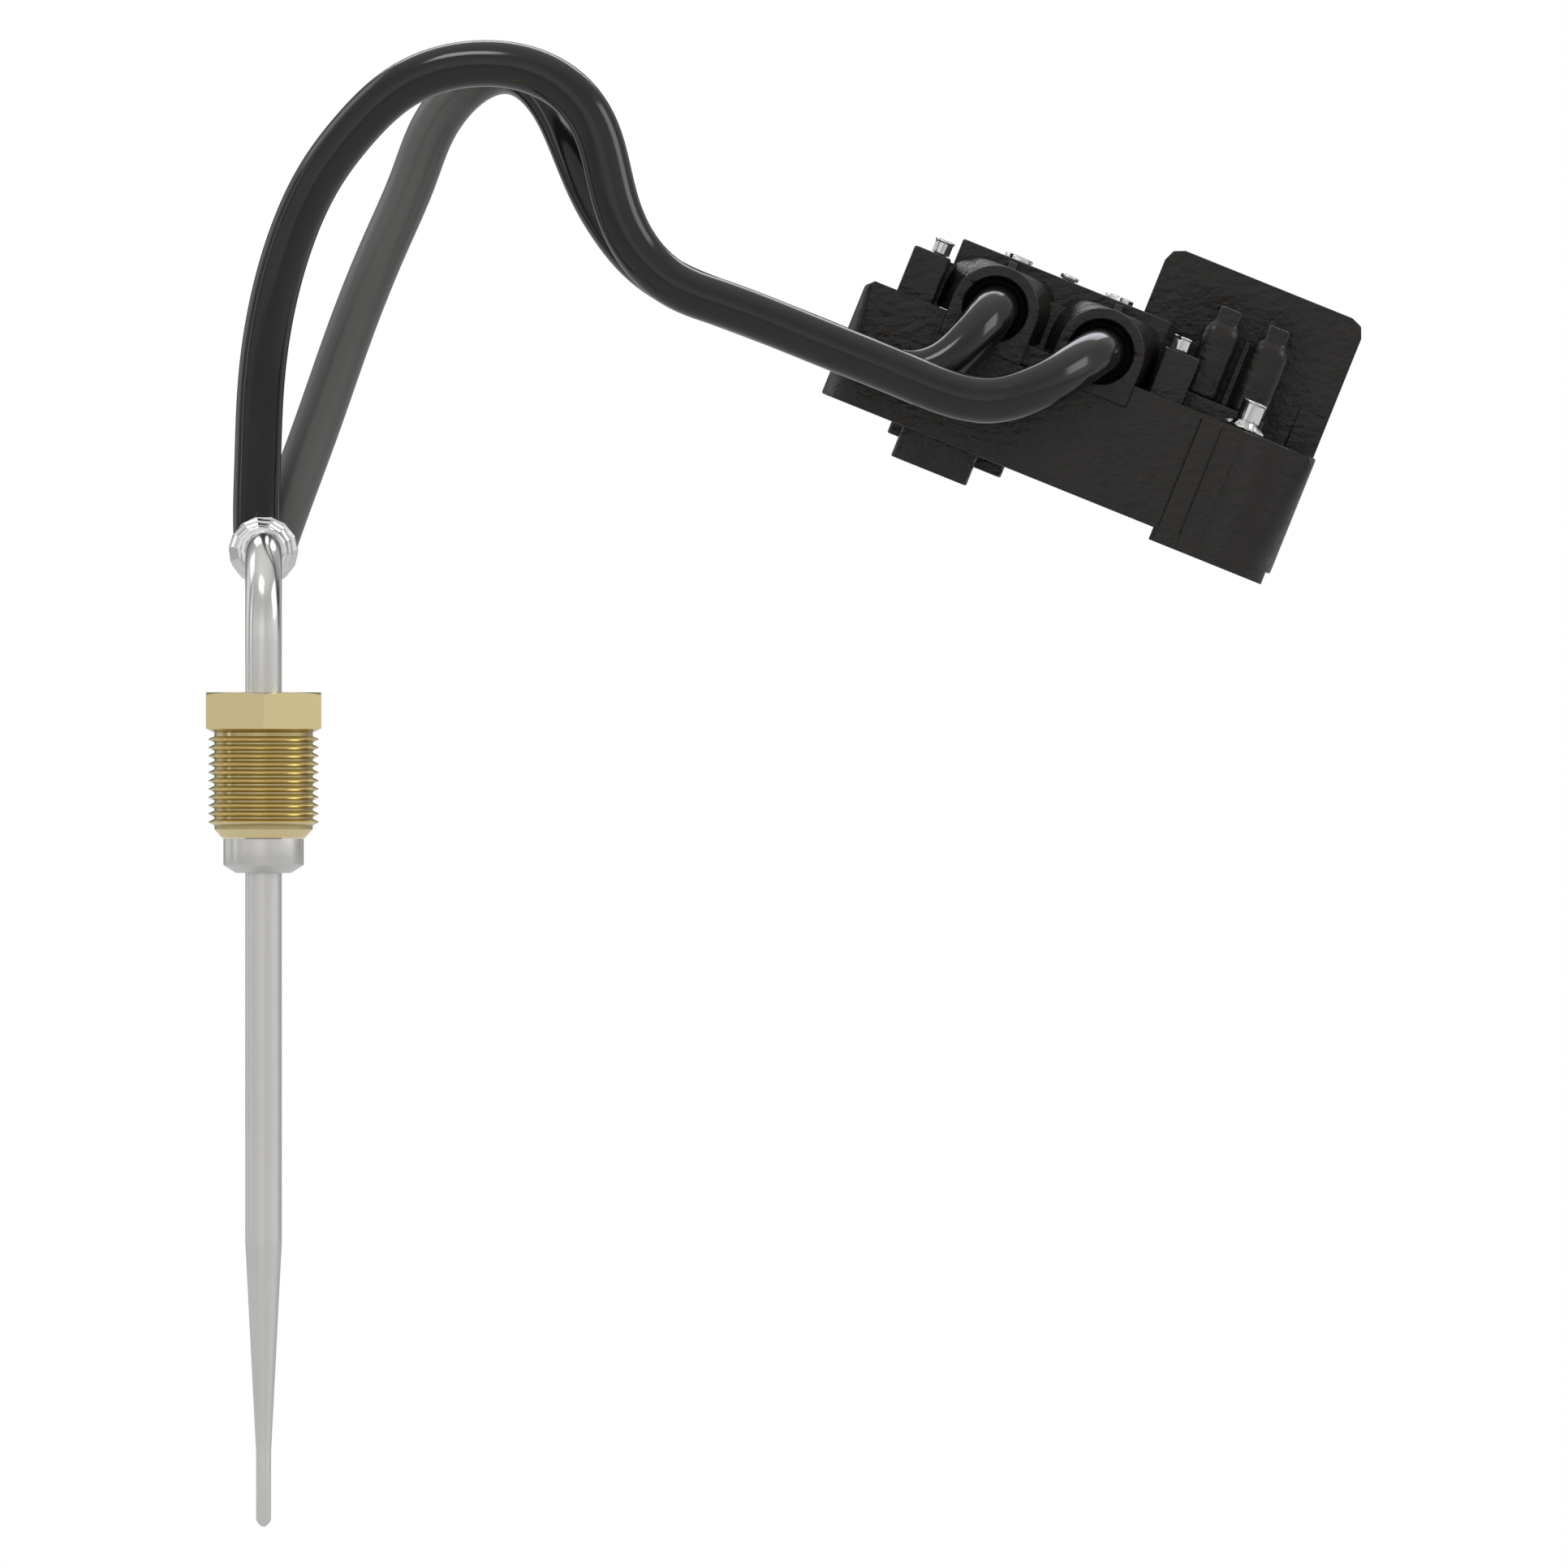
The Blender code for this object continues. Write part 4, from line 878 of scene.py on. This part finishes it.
def make_base():
    bottom, top = BASE_Z
    root = top - 1
    body = block_box(BASE_X, BASE_Y, BASE_Z, edge=0.35, upright=6.5, chamfer=1.4, steps=12)
    pillar = block_rod(PILLAR_R, bottom + 0.01, top - 0.02, PILLAR_AT, edge=0.4, segments=96)
    web = block_box(WEB_X, (WEB_FRONT, 4.0), (bottom + 0.02, top - 0.5), edge=0.55)
    foot = prism_mesh(foot_outline(), FOOT_LOW, bottom + 0.5)
    tab_seat = block_box((14.1, 29.6), (13.6, 24.6), (root, 10.37), edge=0.4, upright=0.6)
    divider = block_box((20.9, 22.2), (20.5, 24.2), (root, 22.8), edge=0.2)
    gap_filler = block_box((-34.4, -32.8), (10.9, 11.9), (root, 15.9), edge=0)
    posts = [block_box(x, POST_Y, (root, POST_TOP), edge=0.4, upright=0.7)
             for x in (POST_LEFT_X, POST_RIGHT_X)]
    joined = [pillar, web, foot, tab_seat, divider, gap_filler] + posts

    saddle_seat = block_box((-31.36, 5.36), (-3.0, 12.1), (3.32, 12.0), edge=0)
    clamp_room = block_box((-43.8, 17.5), (3.0, 25.8), (bottom - 4, -5.0), edge=0)
    busbar_room = block_box((17.0, 28.5), (15.0, 25.8), (-11.0, -5.1), edge=0)
    earth_bore = block_rod(EARTH_HOLE_R, -3.8, 9.0, (EARTH_X, EARTH_Y))
    cover_screw_hole = block_rod(SMALL_HOLE_R, -1.5, 9.0, (COVER_SCREW_X, SCREW_Y))
    clamp_wells = [block_box((x - 4.3, x + 4.3), (15.2, 25.8), (-6.0, 9.0), edge=0) for x in PORT_X]
    tab_y = (TAB_Y - 0.7, TAB_Y + 0.7)
    tab_slots = [block_box((x - 2.7, x + 2.7), tab_y, (-6.0, 11.0), edge=0) for x in TAB_X]
    post_holes = [block_rod(SMALL_HOLE_R, 8.5, POST_TOP + 1, (x, POST_SCREW_Y)) for x in POST_SCREW_X]
    cuts = [saddle_seat, clamp_room, busbar_room, earth_bore, cover_screw_hole]
    cuts += clamp_wells + tab_slots + post_holes
    mesh = boolean(boolean(body, joined, "UNION"), cuts, "DIFFERENCE")
    add_moulding("base_moulding", mesh, ["base_housing"])


def make_base_plate():
    """The cover under the block, with its two locating spigots."""
    plate = block_box((-43.5, 17.2), (3.3, 25.5), (BASE_Z[0], -12.6), edge=0.25)
    short_spigot = block_box((-33.1, -11.0), (14.5, 24.0), (-16.98, -14.0), edge=0.3, upright=2.0)
    long_spigot = block_box((-30.9, -16.2), (3.6, 13.8), (-20.65, -14.0), edge=0.3, upright=2.0)
    add_moulding("bottom_cover", boolean(plate, [short_spigot, long_spigot], "UNION"), ["base_plate"])


def arch_mesh(x, bottom, radius, sections, steps=40):
    """One port body, lofted from front to back through outlines (depth, half width, power, shrink)."""
    bm = bmesh.new()
    rings = []
    for depth, half, power, shrink in sections:
        ring = [bm.verts.new((x - half + shrink, depth, bottom + shrink)),
                bm.verts.new((x + half - shrink, depth, bottom + shrink))]
        for i in range(steps + 1):
            angle = math.pi * i / steps
            across = math.copysign((half - shrink) * abs(math.cos(angle)) ** power, math.cos(angle))
            ring.append(bm.verts.new((x + across, depth, PORT_Z + (radius - shrink) * math.sin(angle))))
        rings.append(ring)
    bm.faces.new(rings[0])
    bm.faces.new(rings[-1])
    count = len(rings[0])
    for front, back in zip(rings, rings[1:]):
        for i in range(count):
            j = (i + 1) % count
            bm.faces.new((front[i], back[i], back[j], front[j]))
    bmesh.ops.recalc_face_normals(bm, faces=bm.faces)
    bmesh.ops.triangulate(bm, faces=bm.faces)
    return finish_mesh(bm)


def nib_mesh(x, front, back, low, high, width=1.52, slope=2.6):
    """A small rib over a port, whose front slopes back to its top."""
    bm = bmesh.new()
    bmesh.ops.create_cube(bm, size=1.0)
    for vert in bm.verts:
        at_front, at_top = vert.co.y < 0, vert.co.z > 0
        near = front + (slope if at_top else 0)
        vert.co = Vector((x + width * vert.co.x, near if at_front else back, high if at_top else low))
    bevel(bm, list(bm.edges), 0.18, 2)
    return finish_mesh(bm)


def make_saddle():
    """Two arched ports with plain flanges in front and flared shoulders behind."""
    middle = sum(PORT_X) / 2
    front, flange, back = -1.0, 1.6, 12.0
    inner = ARCH_R - 0.05
    ring = [(front, ARCH_R, 1, 0.25), (front + 0.08, ARCH_R, 1, 0.08), (front + 0.25, ARCH_R, 1, 0),
            (flange, ARCH_R, 1, 0)]
    flare = [(flange - 0.5, inner, 1.0, 0), (back, 10.45, 0.34, 0)]
    mouth = [(CENTRE_R, front - 0.6), (PORT_R + 0.75, front - 0.6), (PORT_R - 0.1, front + 0.35),
             (CENTRE_R, front + 0.4)]
    crosspiece = block_box((middle - 6, middle + 6), (2.2, back - 0.2), (3.5, 7.3), edge=0.2)
    upright = block_box((middle - 3, middle + 3), (back - 2.5, back - 0.1), (6.0, 16.1), edge=0.25)
    joined = [upright]
    cuts = []
    for x in PORT_X:
        sides = (x - inner + 0.1, x + inner - 0.1)
        joined.append(arch_mesh(x, 3.4, ARCH_R, ring))
        joined.append(block_box(sides, (flange - 1, back - 0.05), (3.45, 8.6), edge=0))
        joined.append(arch_mesh(x, BASE_Z[1] + 0.3, inner, flare))
        joined.append(nib_mesh(x, 3.0, back - 0.3, 17.0, 20.2))
        cuts.append(block_rod(PORT_R, front - 1, 9.0, (x, PORT_Z), along_y=True))
        cuts.append(block_turning(mouth, (x, PORT_Z), along_y=True))
    mesh = boolean(boolean(crosspiece, joined, "UNION"), cuts, "DIFFERENCE")
    add_moulding("saddle_moulding", mesh, ["cable_saddle"])


def make_bushes():
    bore, outside = LEAD_D / 2 + 0.2, 5.62
    front, back = 2.0, 8.7
    profile = softened([(bore, front), (outside, front), (outside, back), (bore, back)], 0.35)
    for number, x in enumerate(PORT_X, 1):
        add_piece(f"port_bush_ring_{number}", turned_mesh(profile, 72, along_y=True), RUBBER, "probe",
                  [f"port_bush_{number}"], place=BLOCK @ Matrix.Translation((x, 0, PORT_Z)))


def make_cover():
    """The upright cover: a hollow box with counterbores for the terminal screws' heads."""
    top_cut = COVER_TOP + 1
    cover = block_box(COVER_X, COVER_Y, (BASE_Z[1] + 0.06, COVER_TOP), edge=0.35, upright=0.6)
    inside_x = (COVER_X[0] + COVER_WALL, COVER_X[1] - COVER_WALL)
    inside_y = (COVER_Y[0] + COVER_WALL, COVER_Y[1] - COVER_WALL)
    hollow = block_box(inside_x, inside_y, (BASE_Z[1] - 2, COVER_ROOF), edge=0)
    cuts = [hollow, block_rod(SMALL_HOLE_R, 16.0, top_cut, (COVER_SCREW_X, SCREW_Y))]
    for x in SCREW_X:
        cuts.append(stepped_hole(SHANK_HOLE_R, 16.0, HEAD_HOLE_R, HEAD_FLOOR, top_cut, (x, SCREW_Y)))
    for x in PORT_X:
        cuts.append(block_rod(LEAD_PIN_HOLE_R, 11.3, 15.3, (x, PORT_Z), along_y=True))
    add_moulding("cover_moulding", boolean(cover, cuts, "DIFFERENCE"), ["terminal_cover"])


def sunk_panel(x, z, face, depth, slope):
    """A cutter for a shallow panel in a face across Y, whose sides slope in over the given width."""
    bm = bmesh.new()
    bmesh.ops.create_cube(bm, size=1.0)
    for vert in bm.verts:
        deep = vert.co.y > 0
        inset = slope * (1.0 if deep else -1.0) / 2
        vert.co = Vector((x[1] - inset if vert.co.x > 0 else x[0] + inset,
                          face + depth if deep else face - depth,
                          z[1] - inset if vert.co.z > 0 else z[0] + inset))
    return finish_mesh(bm)


def make_plate():
    """The plate behind the tabs, with two shallow steps sunk into its front face."""
    bm = plain_box(PLATE_X, PLATE_Y, PLATE_Z)
    bevel(bm, [e for e in edges_along(bm, 1, 1.0) if e.verts[0].co.z > 0], 2.9, 2)
    bevel(bm, sharp_edges(bm, 40), 0.25, 3)
    plate = finish_mesh(bm)
    front, back = PLATE_Y
    cuts = []
    for side, end, depth in PLATE_STEPS:
        cuts.append(sunk_panel((PLATE_X[0] + side, PLATE_X[1] - side), (PLATE_Z[0] + end, PLATE_Z[1] - end),
                               front, depth, STEP_SLOPE))
    for x in PLATE_SCREW_X:
        cuts.append(stepped_hole(PLATE_HOLE_R, front - 1, PLATE_SEAT_R, PLATE_SEAT_Y, back + 1,
                                 (x, PLATE_SCREW_Z), along_y=True))
    add_moulding("barrier_plate_moulding", boolean(plate, cuts, "DIFFERENCE"), ["barrier_plate"])


def rounded_rectangle(half_x, half_y, corner, steps=7):
    outline = []
    for quarter in range(4):
        start = quarter * math.pi / 2
        sx = 1 if quarter in (0, 3) else -1
        sy = 1 if quarter in (0, 1) else -1
        for i in range(steps + 1):
            angle = start + math.pi / 2 * i / steps
            outline.append((sx * (half_x - corner) + corner * math.cos(angle),
                            sy * (half_y - corner) + corner * math.sin(angle)))
    return outline


# Outlines up a cap, as (height, half width, half depth, corner radius): skirt, shoulder and square neck.
CAP_SECTIONS = [(10.4, 3.1, 3.66, 1.9), (10.65, 3.28, 3.84, 2.0), (11.0, 3.34, 3.9, 2.1),
                (21.8, 3.34, 3.9, 2.1), (22.5, 3.28, 3.82, 2.1), (23.1, 3.08, 3.6, 2.0),
                (23.7, 2.72, 3.2, 1.8), (24.15, 2.36, 2.75, 1.4), (24.45, 2.14, 2.4, 0.7),
                (24.6, 2.08, 2.24, 0.4), (26.85, 2.05, 2.18, 0.4), (27.02, 1.98, 2.1, 0.4),
                (27.1, 1.85, 1.97, 0.4)]


def make_caps():
    """Soft-shouldered insulating caps with a square neck, hollow where they cover the tabs."""
    for number, x in enumerate(TAB_X, 1):
        bm = bmesh.new()
        rings = []
        for z, half_x, half_y, corner in CAP_SECTIONS:
            rings.append([bm.verts.new((px, py, z)) for px, py in rounded_rectangle(half_x, half_y, corner)])
        hollow = block_box((-2.6, 2.6), (-1.0, 1.0), (9.0, 21.4), edge=0)
        mesh = boolean(skin_mesh(bm, rings), [hollow], "DIFFERENCE")
        add_moulding(f"tab_cap_moulding_{number}", mesh, [f"tab_cap_{number}"], f"cap_{number}",
                     BLOCK @ Matrix.Translation((x, TAB_Y, 0)))


# ---- Screws and the earth washer ----

POST_SCREW = dict(head_r=1.85, bottom=POST_TOP + 0.15, top=19.2, rim=0.2, rim_t=0.35, shank=1.2, low=9.2)
COVER_SCREW = dict(head_r=1.76, bottom=COVER_TOP + 0.15, top=21.7, rim=0.1, rim_t=0.4, shank=1.2, low=-0.8)
EARTH_SCREW = dict(head_r=2.4, bottom=9.3, top=13.15, rim=0.2, rim_t=0.45, shank=1.7, low=-2.6)
TERMINAL_SCREW = dict(head_r=2.65, bottom=19.5, top=21.55, rim=0.1, rim_t=1.2, shank=1.75, low=14.2)
PLATE_SCREW = dict(head_r=2.6, bottom=30.05, top=31.05, rim=0.0, rim_t=0.5, shank=1.4, low=26.3)
SLOT_HALF = 0.32
SLOT_DEPTH = 0.75
SCREW_AXIS_R = 0.05


def screw_mesh(head_r, bottom, top, rim, rim_t, shank, low):
    """A slotted head with a thin wider rim at its top, on a plain shank."""
    profile = [(SCREW_AXIS_R, top + 0.06), (head_r * 0.6, top + 0.05), (head_r, top - 0.06),
               (head_r, top - rim_t), (head_r - rim, top - rim_t - 0.12), (head_r - rim, bottom),
               (shank, bottom), (shank, low), (SCREW_AXIS_R, low)]
    mesh = turned_mesh(softened(profile, 0.1, closed=False), 56, closed=False)
    slot = block_box((-head_r - 1, head_r + 1), (-SLOT_HALF, SLOT_HALF), (top - SLOT_DEPTH, top + 1), edge=0)
    return boolean(mesh, [slot], "DIFFERENCE")


def add_screw(node, sizes, place, turn, body="probe"):
    """A screw with its sizes, its slot turned by so many degrees, set in the block at a place."""
    place = BLOCK @ place @ Matrix.Rotation(math.radians(turn), 4, "Z")
    add_piece(f"{node}_turned", screw_mesh(**sizes), BRIGHT, body, [node], place=place,
              crease=40)


def make_screws():
    """Every screw, each with its slot left at an angle of its own."""
    for side, x, turn in (("left", POST_SCREW_X[0], 20), ("right", POST_SCREW_X[1], 65)):
        add_screw(f"post_screw_{side}", POST_SCREW, Matrix.Translation((x, POST_SCREW_Y, 0)), turn)
    add_screw("cover_screw", COVER_SCREW, Matrix.Translation((COVER_SCREW_X, SCREW_Y, 0)), 35)
    add_screw("earth_screw", EARTH_SCREW, Matrix.Translation((EARTH_X, EARTH_Y, 0)), 10, "earth_bolt")
    facing_back = Matrix.Rotation(math.radians(-90), 4, "X")
    for number, x in enumerate(PLATE_SCREW_X, 1):
        add_screw(f"plate_screw_{number}", PLATE_SCREW,
                  Matrix.Translation((x, 0, PLATE_SCREW_Z)) @ facing_back, 50 * number)
    for number, x in enumerate(SCREW_X, 1):
        add_screw(f"terminal_screw_{number}", TERMINAL_SCREW, Matrix.Translation((x, SCREW_Y, 0)),
                  15 + 40 * number, f"clamp_screw_{number}")


WASHER_TEETH = 12
TOOTH_STEPS = 8
WASHER_HOLE_R = 2.0
TOOTH_ROOT_R = 2.95
# Rings across the washer: radius, and how much of the teeth's twist each takes.
WASHER_SPANS = [(WASHER_HOLE_R, 0.0), (2.5, 0.15), (TOOTH_ROOT_R, 0.45), (3.67, 1.0)]
WASHER_LOW = 7.68
WASHER_CONE = 1.9  # how far out the cone takes its whole rise
TOOTH_SPAN = (0.2, 0.9)  # where in its step round the washer a tooth starts and ends
GAP_SHARE = 0.15  # how far out the gaps reach, as a share of the teeth


def make_earth_washer():
    """A toothed spring washer: a shallow cone whose teeth are each twisted a little."""
    count = WASHER_TEETH * TOOTH_STEPS
    thick, rise, twist = 0.32, 1.28, 0.3
    bm = bmesh.new()
    layers = []
    for side in (1, 0):
        rows = []
        for radius, reach in WASHER_SPANS:
            row = []
            for k in range(count):
                angle = 2 * math.pi * k / count
                phase = (k % TOOTH_STEPS) / TOOTH_STEPS
                tooth = 1.0 if TOOTH_SPAN[0] < phase < TOOTH_SPAN[1] else 0.0
                beyond = max(radius - TOOTH_ROOT_R, 0.0)
                r = radius - beyond + beyond * (GAP_SHARE + (1 - GAP_SHARE) * tooth)
                cone = rise * (1 - (radius - WASHER_HOLE_R) / WASHER_CONE)
                z = max(WASHER_LOW + 0.06 + cone + twist * (phase - 0.5) * reach * tooth, WASHER_LOW)
                row.append(bm.verts.new((r * math.cos(angle), r * math.sin(angle), z + side * thick)))
            rows.append(row)
        layers.append(rows)
    upper, lower = layers
    bridge(bm, upper + lower[::-1] + upper[:1])
    place = BLOCK @ Matrix.Translation((EARTH_X, EARTH_Y, 0))
    add_piece("earth_washer_toothed", finish_mesh(bm), BRIGHT, "earth_ring",
              ["earth_washer"], place=place, crease=30)


def finish_hidden_nodes():
    """Gives the CAD parts that stay shown a finished material."""
    finishes = {"slip_washer": SATIN, "ceramic_core": CERAMIC, "sensor_wire_1": WIRE, "sensor_wire_2": WIRE,
                "hot_junction": WIRE, "potting_plug": RESIN, "lead_core_1": RUBBER, "lead_core_2": RUBBER,
                "lead_pin_1": TIN, "lead_pin_2": TIN, "clamp_cage_1": SATIN, "clamp_cage_2": SATIN,
                "busbar_1": BRASS, "busbar_2": BRASS, "earth_insert": BRASS}
    for name, mat in finishes.items():
        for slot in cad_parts[name].material_slots:
            slot.material = mat


make_sheath()
make_collar()
make_nut()
make_ferrule()
make_base()
make_base_plate()
make_saddle()
make_bushes()
make_cover()
make_plate()
make_caps()
make_screws()
make_earth_washer()
finish_hidden_nodes()
